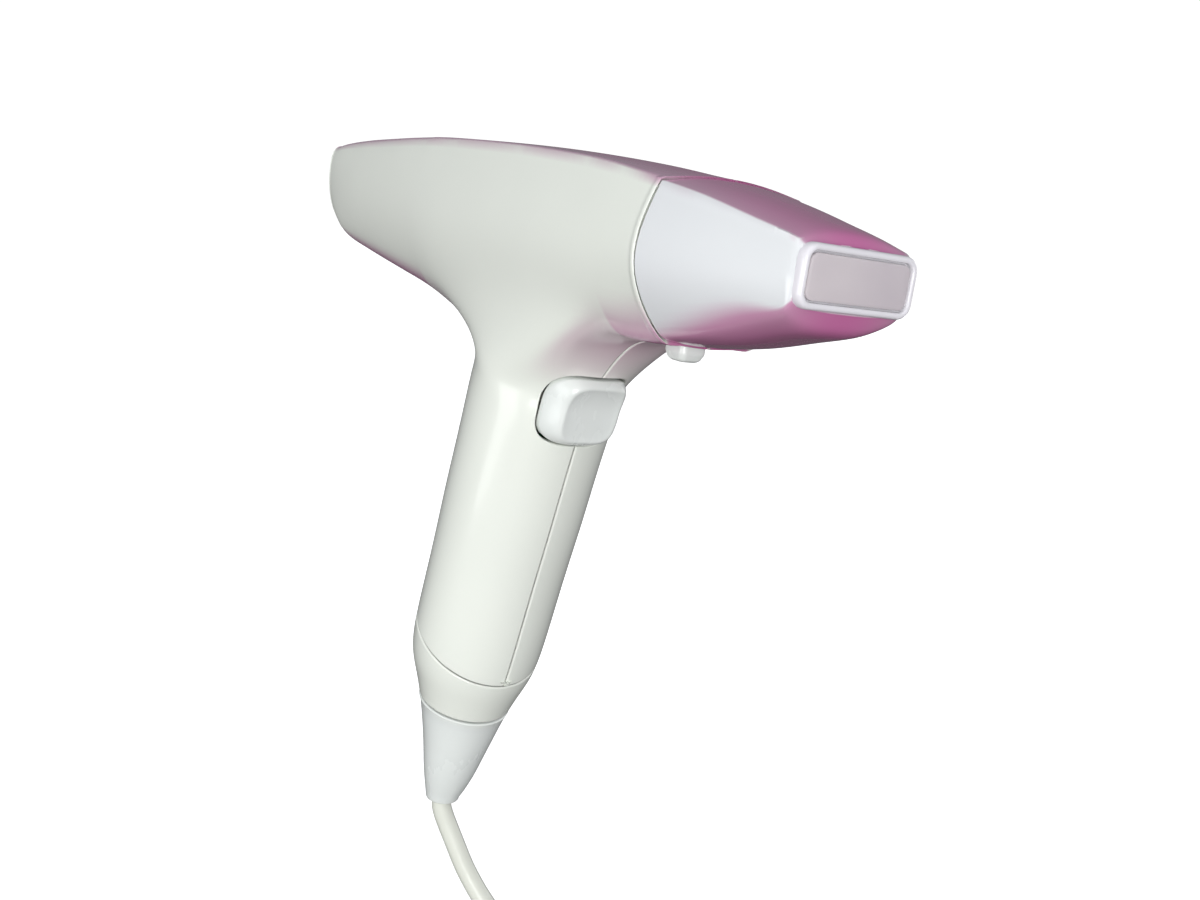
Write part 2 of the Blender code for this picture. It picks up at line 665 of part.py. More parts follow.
def make_release():
    """The cartridge release under the head: a bevelled button with a flange and a latch tooth."""
    half = RELEASE_HALF
    levels = (
        (half - 1.3, 1.0, RELEASE_TIP_Z),
        (half - 0.5, 1.3, RELEASE_TIP_Z + 0.5),
        (half, 1.4, RELEASE_TIP_Z + 1.9),
        (half, 1.4, -15.8),
        (half + 1.2, 1.4, -15.8),
        (half + 1.2, 1.4, -14.5),
    )
    work = bmesh.new()
    rings = [[Vector((u, v, z)) for u, v in rounded_outline(size, size, corner, 3)] for size, corner, z in levels]
    loft(work, rings)
    origin = head(RELEASE_X, 0.0, -18.0)
    button = put_in_scene("release_button", finish_mesh("release_button", work, head_frame(RELEASE_X, 0.0, 0.0)), TRIM)
    carve(button, block("tooth", (1.6, 5.0, 1.8), head_frame(RELEASE_X + 1.4, 0.0, -13.9), TRIM), "UNION")
    button.data.transform(Matrix.Translation(-origin))
    button.location = origin
    spring("release_spring", head_frame(RELEASE_X - 1.9, 0.0, -14.2), 1.6, 6.1, 4)


def make_head_inside():
    """The fan, the capacitor, the transformer and the cartridge socket."""
    fan_frame = facing_x(FAN_X - FAN_DEPTH / 2, 0.0, FAN_Z)
    duct = FAN_HALF - 1.1
    case = plate("fan_frame", rounded_outline(FAN_HALF, FAN_HALF, 2.0), 0.0, FAN_DEPTH, fan_frame, DARK,
                 hole=rounded_outline(duct, duct, duct - 0.4))
    carve(case, turned("motor_seat", [(5.2, 0.0), (5.2, 1.3)], fan_frame, DARK), "UNION")
    for angle in (0.0, 90.0):
        turn = Matrix.Rotation(math.radians(angle), 4, "Z")
        place = fan_frame @ turn @ Matrix.Translation((0, 0, 0.7 * MM))
        carve(case, block("strut", (2 * duct + 1.0, 1.8, 1.2), place, DARK), "UNION")
    hub_frame = fan_frame @ Matrix.Translation((0, 0, 1.7 * MM))
    rotor = turned("fan_rotor", [(5.2, 0.0), (5.2, 5.6), (4.4, 6.2)], hub_frame, DARK)
    blades = 7
    for i in range(blades):
        turn = Matrix.Rotation(2 * math.pi * i / blades, 4, "Z")
        pitch = Matrix.Translation((7.9 * MM, 0, 3.0 * MM)) @ Matrix.Rotation(math.radians(38.0), 4, "X")
        carve(rotor, block("blade", (6.6, 6.4, 0.7), hub_frame @ turn @ pitch, DARK), "UNION")
    middle = head(FAN_X, 0.0, FAN_Z)
    rotor.data.transform(Matrix.Translation(-middle))
    rotor.location = middle
    turned("capacitor", [(8.2, 0.0), (9.0, 0.8), (9.0, 37.0), (8.4, 37.8), (9.0, 38.6), (9.0, 40.0), (8.4, 40.6)],
           facing_x(-80.6, 0.0, -0.5), SLEEVE, CURVE_SIDES)
    block("trigger_transformer", (14.0, 15.0, 14.0), head_frame(-21.0, 0.0, -1.0), DARK, 1.0)
    socket_frame = facing_x(30.0, 0.0, -0.8)
    socket = plate("cartridge_socket", rounded_outline(11.6, 16.6, 4.0), 0.0, 3.0, socket_frame, NATURAL)
    carve(socket, block("spring_shelf", (14.0, 8.0, 1.6), head_frame(35.5, 0.0, -7.1), NATURAL), "UNION")
    for y in PIN_SPREAD:
        carve(socket, turned("pin_bore", [(1.6, -9.0), (1.6, 20.0)], facing_x(30.0, y, 3.0), NATURAL, 12))


def make_handle_inside():
    block("control_board", (1.6, 22.0, 56.0), handle_frame(76.0, -7.0), BOARD)


def make_cartridge():
    """The lamp cartridge: nose shell, base with pins, lamp, reflector, filter and the window in its frame."""
    nose = walled("nose_shell", nose_cage(), NOSE, 1.6)
    carve(nose, half_space(facing_x(SEAM_X, 0.0, 0.0), -1))
    plate("cartridge_base", rounded_outline(11.3, 16.0, 4.5), 0.0, 7.0, facing_x(44.0, 0.0, -0.9), NATURAL)
    for number, y in enumerate(PIN_SPREAD, 1):
        turned(f"contact_pin_{number}", [(0.7, 0.0), (1.0, 0.6), (1.0, 12.2)], facing_x(31.5, y, 3.0), BRASS, 12)
    turned("flash_lamp", [(2.2, -13.3), (2.2, 13.3)], facing_y(62.0, 0.0, -1.0), QUARTZ)
    for side, word in ((-1, "right"), (1, "left")):
        ends = sorted((side * 13.6, side * 16.6))
        turned(f"lamp_electrode_{word}", [(2.25, ends[0]), (2.25, ends[1])], facing_y(62.0, 0.0, -1.0), STEEL, 12)
        holder = block(f"lamp_holder_{word}", (6.4, 2.0, 7.0), head_frame(62.0, side * 15.1, -1.0), CERAMIC, 0.4)
        carve(holder, turned("bore", [(2.6, -20.0), (2.6, 20.0)], facing_y(62.0, 0.0, -1.0), CERAMIC, 12))
    make_reflector()
    block("filter_glass", (2.0, 25.0, 12.0), head_frame(73.0, 0.0, -0.7), GLASS, 0.3)
    make_window()


def make_reflector():
    """A parabolic trough round the lamp, open forward."""
    steps = 8
    work = bmesh.new()
    rings = []
    for i in range(steps + 1):
        z = -7.0 + 14.0 * i / steps
        back = head(57.6 + 0.25 * z * z, 0.0, z - 1.0) / MM
        front = head(58.7 + 0.25 * z * z, 0.0, 0.93 * z - 1.0) / MM
        side = Vector((0.0, 12.9, 0.0))
        rings.append([back - side, back + side, front + side, front - side])
    loft(work, rings)
    put_in_scene("reflector", finish_mesh("reflector", work), REFLECTOR)


def make_window():
    """The rounded frame round the treatment window, with a collar inside the nose, and its pane."""
    width = PLATE_HALF_WIDTH
    height = PLATE_HALF_HEIGHT
    levels = (
        (12.3, 3.9, 1.5, PLATE_X - 5.0),
        (12.3, 3.9, 1.5, PLATE_X - 1.6),
        (width, height, 3.0, PLATE_X - 1.6),
        (width, height, 3.0, PLATE_X - 0.5),
        (width - 0.4, height - 0.4, 2.7, PLATE_X),
        (width - 1.2, height - 1.2, 2.0, PLATE_X),
        (width - 1.4, height - 1.4, 1.9, PLATE_X - 0.2),
        (width - 1.4, height - 1.4, 1.9, PLATE_X - 1.2),
        (11.3, 3.1, 1.2, PLATE_X - 1.2),
        (11.3, 3.1, 1.2, PLATE_X - 5.0),
    )
    work = bmesh.new()
    rings = []
    for half_width, half_height, corner, x in levels:
        outline = rounded_outline(half_width, half_height, corner)
        rings.append([Vector((x + HEAD_X, u, v + HEAD_Z)) for u, v in outline])
    rings.append(rings[0])
    loft(work, rings, closed_ends=False)
    put_in_scene("window_frame", finish_mesh("window_frame", work), TRIM)
    pane = rounded_outline(height - 1.7, width - 1.7, 1.7)
    plate("window_glass", pane, 0.0, 0.5, facing_x(PLATE_X - 0.9, 0.0, 0.0), PANE)


def make_cord():
    """The lead, the wound coil with its tie, the tail and the plug."""
    cord_tube("cord_lead", LEAD_ROUTE)
    cord_tube("cord_tail", TAIL_ROUTE)
    top_t, top_z = COIL_TOP
    coil_frame = cord_frame(top_t, top_z - OUTER_TURN_RADIUS, 0.0)
    half = COIL_HALF_SECTION
    ring = [(COIL_RADIUS + half, -half + 1.5), (COIL_RADIUS + half, half - 1.5), (COIL_RADIUS + half - 1.5, half)]
    inner = [(COIL_RADIUS - half + 1.5, half), (COIL_RADIUS - half, half - 1.5), (COIL_RADIUS - half, -half + 1.5)]
    last = [(COIL_RADIUS - half + 1.5, -half), (COIL_RADIUS + half - 1.5, -half)]
    profile = ring + inner + last
    work = bmesh.new()
    loft(work, [circle(radius, 32, z) for radius, z in profile + profile[:1]], closed_ends=False)
    put_in_scene("cord_coil", finish_mesh("cord_coil", work, coil_frame), CORD)
    band = half + 0.4
    tie_frame = cord_frame(top_t, top_z - OUTER_TURN_RADIUS + COIL_RADIUS, 0.0)
    tie_frame = tie_frame @ Matrix.Rotation(math.radians(90.0), 4, "Y")
    plate("cord_tie", rounded_outline(band + 1.0, band + 1.0, 2.0), -4.0, 4.0, tie_frame, DARK,
          hole=rounded_outline(band, band, 1.0))
    end = cord_frame(TAIL_ROUTE[-1][0], TAIL_ROUTE[-1][1] - GAP, TAIL_ROUTE[-1][2])
    down = end @ Matrix.Rotation(math.radians(90.0), 4, "X")
    turned("plug_body", [(3.3, 0.0), (4.6, 9.0), (5.4, 11.0), (5.4, 27.0), (4.8, 28.0)], down, CORD)
    turned("plug_barrel", [(2.75, 28.3), (2.75, 37.8)], down, STEEL, 16, bore=1.1)


def main():
    for old in list(bpy.data.objects):
        bpy.data.objects.remove(old)
    right, left = make_housing()
    make_screws(add_posts(right, left))
    make_boot()
    make_rear_grille()
    make_trigger()
    make_switch()
    make_release()
    make_head_inside()
    make_handle_inside()
    make_cartridge()
    make_cord()


main()
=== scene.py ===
"""Looks of the IPL hair remover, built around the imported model."""
import math

import bmesh
import bpy
from mathutils import Matrix, Vector
from mathutils.bvhtree import BVHTree
from mathutils.interpolate import poly_3d_calc


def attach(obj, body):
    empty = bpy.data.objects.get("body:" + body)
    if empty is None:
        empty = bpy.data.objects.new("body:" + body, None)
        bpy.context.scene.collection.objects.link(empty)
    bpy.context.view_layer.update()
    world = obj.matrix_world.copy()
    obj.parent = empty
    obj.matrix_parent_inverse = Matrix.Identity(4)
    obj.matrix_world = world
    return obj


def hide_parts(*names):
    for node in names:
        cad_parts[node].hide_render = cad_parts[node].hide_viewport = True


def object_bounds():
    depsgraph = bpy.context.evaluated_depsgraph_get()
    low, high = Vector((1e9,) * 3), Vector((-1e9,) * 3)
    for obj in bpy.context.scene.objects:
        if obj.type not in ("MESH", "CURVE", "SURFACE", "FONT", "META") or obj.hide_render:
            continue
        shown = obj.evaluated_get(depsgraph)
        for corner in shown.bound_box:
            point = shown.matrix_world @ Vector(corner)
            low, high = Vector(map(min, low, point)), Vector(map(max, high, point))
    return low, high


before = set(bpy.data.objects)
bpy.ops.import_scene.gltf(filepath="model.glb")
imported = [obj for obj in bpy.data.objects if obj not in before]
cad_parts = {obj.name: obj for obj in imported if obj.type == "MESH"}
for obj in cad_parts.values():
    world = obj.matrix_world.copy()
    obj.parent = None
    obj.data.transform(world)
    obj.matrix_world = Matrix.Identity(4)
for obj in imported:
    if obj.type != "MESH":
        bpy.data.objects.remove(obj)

CAD_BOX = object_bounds()

# ---- sizes in millimetres, as the CAD has them; MM turns them into metres ----
MM = 0.001
WALL = 2.0
GAP = 0.3
FINE_GAP = 0.05               # what shows where the cartridge closes against the housing
HEAD_X = 13.3                 # where the handle's axis meets the head's axis, seen from the grip's middle
HEAD_Z = 64.7
RAKE = math.radians(11.6)
SEAM_X = 48.5
PLATE_X = 85.8
PLATE_HALF_WIDTH = 14.2
PLATE_HALF_HEIGHT = 5.7
RIM_WIDTH = 1.55              # of the window frame, from its outside to the pane
CAP_S = 105.8
CAP_TILT = math.radians(18.8)
BOOT_S = 124.0
GRILLE_X = -103.9
GRILLE_Z = 0.5
GRILLE_TILT = math.radians(9.0)
SLOT_PITCH = 3.6
EXIT_S = 154.0
EXIT_FORWARD = 3.0
EXIT_Z = -151.0
FLOOR_DROP = 0.012            # metres from the lowest turn of the cord to the floor
SCREWS_IN_HEAD = ((-90.5, 7.0, 16.9), (-34.5, 7.0, 19.8), (5.0, 8.0, 19.9))
SCREWS_IN_HANDLE = ((67.0, 1.0, 16.2), (97.0, 1.0, 15.6))
TRIGGER_S = 36.2
TRIGGER_HALF_WIDTH = 10.0
TRIGGER_HALF_HEIGHT = 8.5
RELEASE_X = 41.2
RELEASE_HALF = 3.3
RELEASE_TIP_Z = -22.0
CORD_RADIUS = 2.6
CORD_HEADING = math.radians(50.0)
COIL_TOP = (1.5, -223.0)
COIL_RADIUS = 30.0            # middle of the wound turns
OUTER_TURN_RADIUS = 35.3
TURN_PITCH = 5.3
COIL_TURNS = 8.15
STOPS_PER_TURN = 24
STEP_ACROSS = 2.0             # how far a turn swings out of line where it changes column
TAIL_SHIFT = 8.3              # how far the tail moves sideways out of the bundle
TIE_HALF_U = 8.5
TIE_HALF_V = 8.5
FINE = 3                      # subdivision of the big surfaces
REAR_INNER_SHARE = 0.85       # the rear face's inner ring, as a share of its rim
REAR_SWELL = 0.6              # how far the rear face swells out
REAR_SHARPNESS = 0.25         # how sharp the edges are: 0 is round, 1 is a hard edge
SEAM_SHARPNESS = 0.7
RIM_SHARPNESS = 0.85
SIDE_SHARPNESS = 0.35
NORMAL_REACH = 0.012          # a corner this near the uncut surface takes its normal
SAME_WAY = 0.85               # unless its face points another way
CAGE_SIDES = 12               # points round a section or a ring of the big surfaces
TURNED_SIDES = 48
BOOT_SIDES = 64
BUTTON_SIDES = 96
SQUARENESS = 4.0              # of the trigger's outline; 2 is an ellipse
SHARP_ANGLE = 35.0            # degrees between faces above which an edge is shaded sharp

# The head's stations, in head coordinates:
# (x, half width, crown, crease (y, z), belly, lower corner (y, z), set-forward of the belly)
HEAD_STATIONS = (
    (-104.4, 17.2, 12.0, (16.8, 11.5), -11.0, (14.6, -8.8), 6.0),
    (-100.5, 17.8, 12.9, (17.1, 12.0), -12.8, (15.0, -10.6), 5.0),
    (-88.0, 19.0, 14.9, (17.5, 13.4), -14.6, (14.8, -12.4), 2.0),
    (-66.0, 20.2, 17.1, (18.1, 15.0), -18.0, (15.2, -14.6), 0.0),
    (-48.0, 21.2, 18.1, (18.4, 16.1), -21.3, (16.2, -15.8), 0.0),
    (-33.0, 21.7, 18.5, (18.5, 16.7), -25.0, (17.0, -17.8), 0.0),
    (-4.0, 22.0, 18.3, (18.6, 16.7), -27.0, (19.0, -16.4), 0.0),
    (23.0, 22.1, 17.2, (18.5, 15.7), -22.2, (17.0, -16.6), 0.0),
    (36.0, 22.1, 16.2, (18.5, 14.5), -19.4, (14.8, -16.4), 0.0),
    (SEAM_X + 1.0, 22.0, 15.2, (18.5, 12.9), -18.2, (13.5, -16.1), 0.0),
)
HOLE_FIRST = 5                # the handle grows out of the belly between these stations
HOLE_LAST = 7
CREASES = (4, 8)              # where a section's points lie on the creases beside the crown
SIDE_CORNERS = (2, 10)        # and on its lower corners
NOSE_STATIONS = (
    (SEAM_X - 1.0, 22.0, 15.2, (18.5, 12.9), -18.2, (13.5, -16.1), 0.0),
    (60.0, 19.9, 13.1, (17.3, 11.0), -16.0, (13.3, -13.4), 0.0),
    (72.0, 17.3, 10.7, (15.8, 8.4), -12.9, (13.3, -9.8), 0.0),
    (80.2, 15.4, 8.9, (14.7, 6.7), -10.6, (13.5, -7.6), 0.0),
    (82.9, 14.8, 7.4, (14.1, 5.9), -8.3, (13.8, -6.2), 0.0),
    (83.9, 14.3, 5.9, (13.5, 5.0), -5.9, (13.4, -4.9), 0.0),
)
ALL_STATIONS = HEAD_STATIONS[:-1] + NOSE_STATIONS
# The handle's rings: (distance down the axis, radius along X, radius along Y, shift forward)
HANDLE_RINGS = (
    (30.5, 19.5, 18.9, -0.4),
    (38.0, 17.8, 17.9, 0.0),
    (52.0, 17.5, 17.5, 0.0),
    (68.0, 17.3, 17.3, 0.0),
    (84.0, 16.9, 16.9, 0.0),
    (100.0, 16.7, 16.7, 0.0),
    (111.0, 16.0, 16.0, 0.1),
    (118.0, 13.9, 13.9, 0.6),
    (126.0, 11.3, 11.3, 1.3),
    (136.0, 8.8, 8.8, 2.3),
    (146.0, 6.6, 6.6, 2.9),
    (EXIT_S, 4.3, 4.3, EXIT_FORWARD),
)
# The cord's route in its own upright plane: (distance along its heading, height, side shift)
LEAD_ROUTE = (
    (0.0, -153.3, 0.0), (0.7, -155.6, 0.0), (2.2, -158.7, 0.0), (4.8, -163.3, -0.2), (8.7, -170.0, -0.6),
    (13.3, -176.1, -1.2), (18.6, -181.9, -2.0), (23.0, -188.5, -3.0), (25.2, -196.0, -4.0),
    (24.6, -204.5, -4.8), (20.9, -212.6, -5.2), (15.2, -218.2, -5.3),
)
TAIL_ROUTE = (
    (-20.0, -246.6, 11.2), (-21.6, -250.6, 12.4), (-22.8, -255.2, 13.3), (-23.2, -260.0, 13.6),
    (-23.2, -264.0, 13.6),
)


# ---- placing ----
def head(x, y, z):
    """A point in head coordinates: the origin is where the handle's axis meets the head's axis."""
    return Vector((x + HEAD_X, y, z + HEAD_Z)) * MM


def handle_frame(s, forward=0.0):
    """A frame on the handle's axis: its X points forward out of the handle, its Z up along the axis."""
    up = Vector((math.sin(RAKE), 0.0, math.cos(RAKE)))
    out = Vector((math.cos(RAKE), 0.0, -math.sin(RAKE)))
    place = head(0.0, 0.0, 0.0) - up * s * MM + out * forward * MM
    made = Matrix((out, Vector((0.0, 1.0, 0.0)), up)).transposed().to_4x4()
    made.translation = place
    return made


def head_frame(x, y, z, axis="Z", angle=0.0):
    return Matrix.Translation(head(x, y, z)) @ Matrix.Rotation(math.radians(angle), 4, axis)


def facing_x(x, y, z):
    return head_frame(x, y, z, "Y", 90.0)


def cord_axes():
    along = Vector((math.cos(CORD_HEADING), math.sin(CORD_HEADING), 0.0))
    across = Vector((-math.sin(CORD_HEADING), math.cos(CORD_HEADING), 0.0))
    return along, across


def cord_point(t, z, side):
    """A point in the cord's plane, in metres."""
    exit_x = EXIT_FORWARD * math.cos(RAKE) - EXIT_S * math.sin(RAKE)
    along, across = cord_axes()
    flat = along * t + across * side
    return head(exit_x + flat.x, flat.y, z)


def cord_frame(t, z, side):
    along, _ = cord_axes()
    upright = Vector((0.0, 0.0, 1.0))
    made = Matrix((along, upright, along.cross(upright))).transposed().to_4x4()
    made.translation = cord_point(t, z, side)
    return made


# ---- camera ----
CAMERA_AZIMUTH = math.radians(53.28)
CAMERA_PITCH = math.radians(10.18)
CAMERA_ROLL = math.radians(8.8)
CAMERA_PLACE = (0.2596, -0.1706, 0.0696)
CAMERA_LENS = 39.0


def make_camera():
    back = Vector((math.sin(CAMERA_AZIMUTH) * math.cos(CAMERA_PITCH),
                   -math.cos(CAMERA_AZIMUTH) * math.cos(CAMERA_PITCH), math.sin(CAMERA_PITCH)))
    right = Vector((math.cos(CAMERA_AZIMUTH), math.sin(CAMERA_AZIMUTH), 0.0))
    up = back.cross(right)
    turned_right = right * math.cos(CAMERA_ROLL) + up * math.sin(CAMERA_ROLL)
    turned_up = up * math.cos(CAMERA_ROLL) - right * math.sin(CAMERA_ROLL)
    data = bpy.data.cameras.new("camera")
    data.lens = CAMERA_LENS
    data.sensor_width = 36.0
    data.clip_start = 0.01
    camera = bpy.data.objects.new("camera", data)
    bpy.context.scene.collection.objects.link(camera)
    camera.matrix_world = Matrix((turned_right, turned_up, back)).transposed().to_4x4()
    camera.location = CAMERA_PLACE
    bpy.context.scene.camera = camera


# ---- mesh helpers ----
def link(name, data):
    made = bpy.data.objects.new(name, data)
    bpy.context.scene.collection.objects.link(made)
    return made


def finish_mesh(name, work, place=None, millimetres=True):
    bmesh.ops.remove_doubles(work, verts=work.verts, dist=1e-7)
    bmesh.ops.recalc_face_normals(work, faces=work.faces)
    if millimetres:
        work.transform(Matrix.Scale(MM, 4))
    if place is not None:
        work.transform(place)
    mesh = bpy.data.meshes.new(name)
    work.to_mesh(mesh)
    work.free()
    mesh.shade_smooth()
    mesh.set_sharp_from_angle(angle=math.radians(SHARP_ANGLE))
    return mesh


def loft(work, rings, closed_ends=True):
    made = [[work.verts.new(point) for point in ring] for ring in rings]
    count = len(rings[0])
    for near, far in zip(made, made[1:]):
        for i in range(count):
            j = (i + 1) % count
            work.faces.new((near[i], near[j], far[j], far[i]))
    if closed_ends:
        work.faces.new(made[0][::-1])
        work.faces.new(made[-1])
    return made


def lofted(name, rings, place=None, closed_ends=True, millimetres=True):
    """A piece made from rings of points."""
    work = bmesh.new()
    loft(work, rings, closed_ends)
    return link(name, finish_mesh(name, work, place, millimetres))


def circle(radius, count, z):
    steps = [2 * math.pi * i / count for i in range(count)]
    return [Vector((radius * math.cos(a), radius * math.sin(a), z)) for a in steps]


def turned(name, profile, place, closed=False):
    """A turned piece; profile is (radius, z). A closed profile makes a tube or ring."""
    rings = [circle(radius, TURNED_SIDES, z) for radius, z in profile]
    if closed:
        rings.append(rings[0])
    return lofted(name, rings, place, closed_ends=not closed)


def rounded_outline(half_width, half_height, corner, steps=10):
    points = []
    for quarter, (su, sv) in enumerate(((1, 1), (-1, 1), (-1, -1), (1, -1))):
        for i in range(steps + 1):
            a = math.pi / 2 * (quarter + i / steps)
            points.append((su * (half_width - corner) + corner * math.cos(a),
                           sv * (half_height - corner) + corner * math.sin(a)))
    return points


def squircle(half_u, half_v):
    """An outline between an ellipse and a rectangle."""
    points = []
    for i in range(BUTTON_SIDES):
        a = 2 * math.pi * i / BUTTON_SIDES
        c, s = math.cos(a), math.sin(a)
        r = (abs(c) ** SQUARENESS + abs(s) ** SQUARENESS) ** (-1.0 / SQUARENESS)
        points.append((half_u * r * c, half_v * r * s))
    return points


def bake(body):
    """Put the evaluated mesh in place of the modifiers."""
    seen = body.evaluated_get(bpy.context.evaluated_depsgraph_get())
    mesh = bpy.data.meshes.new_from_object(seen)
    body.modifiers.clear()
    body.data = mesh


def carve(body, cutter):
    step = body.modifiers.new("carve", "BOOLEAN")
    step.operation = "DIFFERENCE"
    step.object = cutter
    bake(body)
    bpy.data.objects.remove(cutter)


def smooth_shade(body, angle):
    body.data.shade_smooth()
    body.data.set_sharp_from_angle(angle=math.radians(angle))


def block(name, size, place, bevel):
    work = bmesh.new()
    bmesh.ops.create_cube(work, size=1.0)
    bmesh.ops.scale(work, vec=Vector(size), verts=work.verts)
    bmesh.ops.bevel(work, geom=work.edges, offset=bevel, segments=3, profile=0.5, affect="EDGES")
    return link(name, finish_mesh(name, work, place))


# ---- the outer skin, as in the CAD, subdivided further ----
def head_section(station):
    x, half_width, crown, crease, belly, low, set_forward = station
    crease_y, crease_z = crease
    low_y, low_z = low
    side = [
        (0.56 * low_y, belly + 0.16 * (low_z - belly)),
        (low_y, low_z),
        (half_width, 0.5 * (crease_z + low_z) - 1.5),
        (crease_y, crease_z),
        (0.52 * crease_y, crown - 0.26 * (crown - crease_z)),
    ]
    outline = [(0.0, belly)] + side + [(0.0, crown)] + [(-y, z) for y, z in reversed(side)]
    return [head(x + set_forward * max(0.0, z / belly), y, z) for y, z in outline]


def handle_ring(s, radius_x, radius_y, forward):
    place = handle_frame(s, forward)
    steps = [2 * math.pi * i / CAGE_SIDES for i in range(CAGE_SIDES)]
    return [place @ (Vector((radius_x * math.cos(a), radius_y * math.sin(a), 0.0)) * MM) for a in steps]


def settle_cage(mesh, wanted, rounds=6):
    probe = link("probe", mesh)
    smooth = probe.modifiers.new("smooth", "SUBSURF")
    smooth.levels = 2
    for _ in range(rounds):
        mesh.update()
        seen = probe.evaluated_get(bpy.context.evaluated_depsgraph_get())
        now = [vertex.co.copy() for vertex in seen.data.vertices[:len(wanted)]]
        for vertex, target, reached in zip(mesh.vertices, wanted, now):
            vertex.co += target - reached
    bpy.data.objects.remove(probe)


def new_cage():
    work = bmesh.new()
    return work, work.edges.layers.float.new("crease_edge")


def fine_skin(name, work):
    """The subdivided surface through the cage's points, as a plain object."""
    work.verts.index_update()
    wanted = [vertex.co.copy() for vertex in work.verts]
    bmesh.ops.recalc_face_normals(work, faces=work.faces)
    mesh = bpy.data.meshes.new(name)
    work.to_mesh(mesh)
    work.free()
    settle_cage(mesh, wanted)
    body = link(name, mesh)
    smooth = body.modifiers.new("smooth", "SUBSURF")
    smooth.levels = FINE
    smooth.render_levels = FINE
    bake(body)
    return body


def housing_skin():
    work, crease = new_cage()
    rings = [[work.verts.new(point) for point in head_section(station)] for station in HEAD_STATIONS]
    for k, (near, far) in enumerate(zip(rings, rings[1:])):
        for i in range(CAGE_SIDES):
            j = (i + 1) % CAGE_SIDES
            if not (HOLE_FIRST <= k < HOLE_LAST and i in (10, 11, 0, 1)):
                work.faces.new((near[i], near[j], far[j], far[i]))
    rear_middle = sum((vertex.co for vertex in rings[0]), Vector()) / CAGE_SIDES
    swell = Vector((-REAR_SWELL * MM, 0, 0))
    inner = [work.verts.new(rear_middle.lerp(vertex.co, REAR_INNER_SHARE) + swell) for vertex in rings[0]]
    for i in range(CAGE_SIDES):
        j = (i + 1) % CAGE_SIDES
        work.faces.new((inner[i], inner[j], rings[0][j], rings[0][i]))
    work.faces.new(inner[::-1])
    first, middle, last = rings[HOLE_FIRST:HOLE_LAST + 1]
    above = [last[0], last[1], last[2], middle[2], first[2], first[1],
             first[0], first[11], first[10], middle[10], last[10], last[11]]
    for vertex in (middle[0], middle[1], middle[11]):
        work.verts.remove(vertex)
    for ring in HANDLE_RINGS:
        below = [work.verts.new(point) for point in handle_ring(*ring)]
        for i in range(CAGE_SIDES):
            j = (i + 1) % CAGE_SIDES
            work.faces.new((above[i], above[j], below[j], below[i]))
        above = below
    for k in range(len(rings) - 1):
        sharpness = REAR_SHARPNESS + (SEAM_SHARPNESS - REAR_SHARPNESS) * k / (len(rings) - 2)
        for i in CREASES:
            work.edges.get((rings[k][i], rings[k + 1][i]))[crease] = sharpness
    for i in range(CAGE_SIDES):
        work.edges.get((rings[0][i], rings[0][(i + 1) % CAGE_SIDES]))[crease] = RIM_SHARPNESS
    return fine_skin("housing_skin", work)


def nose_skin():
    work, crease = new_cage()
    rings = loft(work, [head_section(station) for station in NOSE_STATIONS], closed_ends=False)
    for near, far in zip(rings, rings[1:]):
        for i in CREASES:
            work.edges.get((near[i], far[i]))[crease] = 1.0
        for i in SIDE_CORNERS:
            work.edges.get((near[i], far[i]))[crease] = SIDE_SHARPNESS
    return fine_skin("nose_skin", work)


def cut_plane(place, keep, gap):
    """Where a piece's edge runs beside a frame's XY plane, and the direction into the piece."""
    inward = (place.to_3x3() @ Vector((0, 0, keep))).normalized()
    return place.translation + inward * gap / 2 * MM, inward


def split(work, spot, normal, clear=False):
    geometry = work.verts[:] + work.edges[:] + work.faces[:]
    bmesh.ops.bisect_plane(work, geom=geometry, plane_co=spot, plane_no=normal, dist=1e-6, clear_inner=clear)


def open_edge(work, place, keep, profile, gap=GAP):
    """Cut the skin beside a frame's plane, keep one side of it (+1 or -1) and shape the edge that is left.
    The seam's lip is full on the sides and low on the crown and the belly."""
    spot, inward = cut_plane(place, keep, gap)
    split(work, spot, inward, clear=True)
    for distance, _ in profile[1:]:
        split(work, spot + inward * distance * MM, inward)
    work.normal_update()
    moves = []
    for vertex in work.verts:
        distance = max(0.0, (vertex.co - spot).dot(inward) / MM)
        for (near, push), (far, next_push) in zip(profile, profile[1:]):
            if near <= distance <= far:
                share = (distance - near) / (far - near)
                strength = min(1.0, 0.25 + abs(vertex.normal.y)) if profile is SEAM_LIP else 1.0
                moves.append((vertex, vertex.normal * (push + (next_push - push) * share) * strength * MM))
                break
    for vertex, move in moves:
        vertex.co += move


def give_wall(body, thickness):
    """Thicken an open surface inward."""
    wall = body.modifiers.new("wall", "SOLIDIFY")
    wall.thickness = thickness * MM
    wall.offset = -1.0
    bake(body)


class Surface:
    """The uncut outer surface, to find its height and its smooth normals."""

    def __init__(self, body):
        mesh = body.data
        mesh.calc_loop_triangles()
        self.points = [vertex.co.copy() for vertex in mesh.vertices]
        self.normals = [vertex.normal.copy() for vertex in mesh.vertices]
        self.triangles = [tuple(triangle.vertices) for triangle in mesh.loop_triangles]
        self.tree = BVHTree.FromPolygons(self.points, self.triangles)

    def forward_of(self, place, u, v):
        """How far forward the surface is in a handle frame, in millimetres."""
        start = place @ (Vector((40.0, u, v)) * MM)
        found = self.tree.ray_cast(start, place.to_3x3() @ Vector((-1, 0, 0)))[0]
        return (place.inverted() @ found).x / MM

    def normal_at(self, point, reach):
        """The smooth normal beside a point, or None if the surface is further away than reach."""
        found, _, index, distance = self.tree.find_nearest(point)
        if distance > reach:
            return None
        corners = self.triangles[index]
        shares = poly_3d_calc([self.points[i] for i in corners], found)
        return sum((self.normals[i] * share for i, share in zip(corners, shares)), Vector()).normalized()


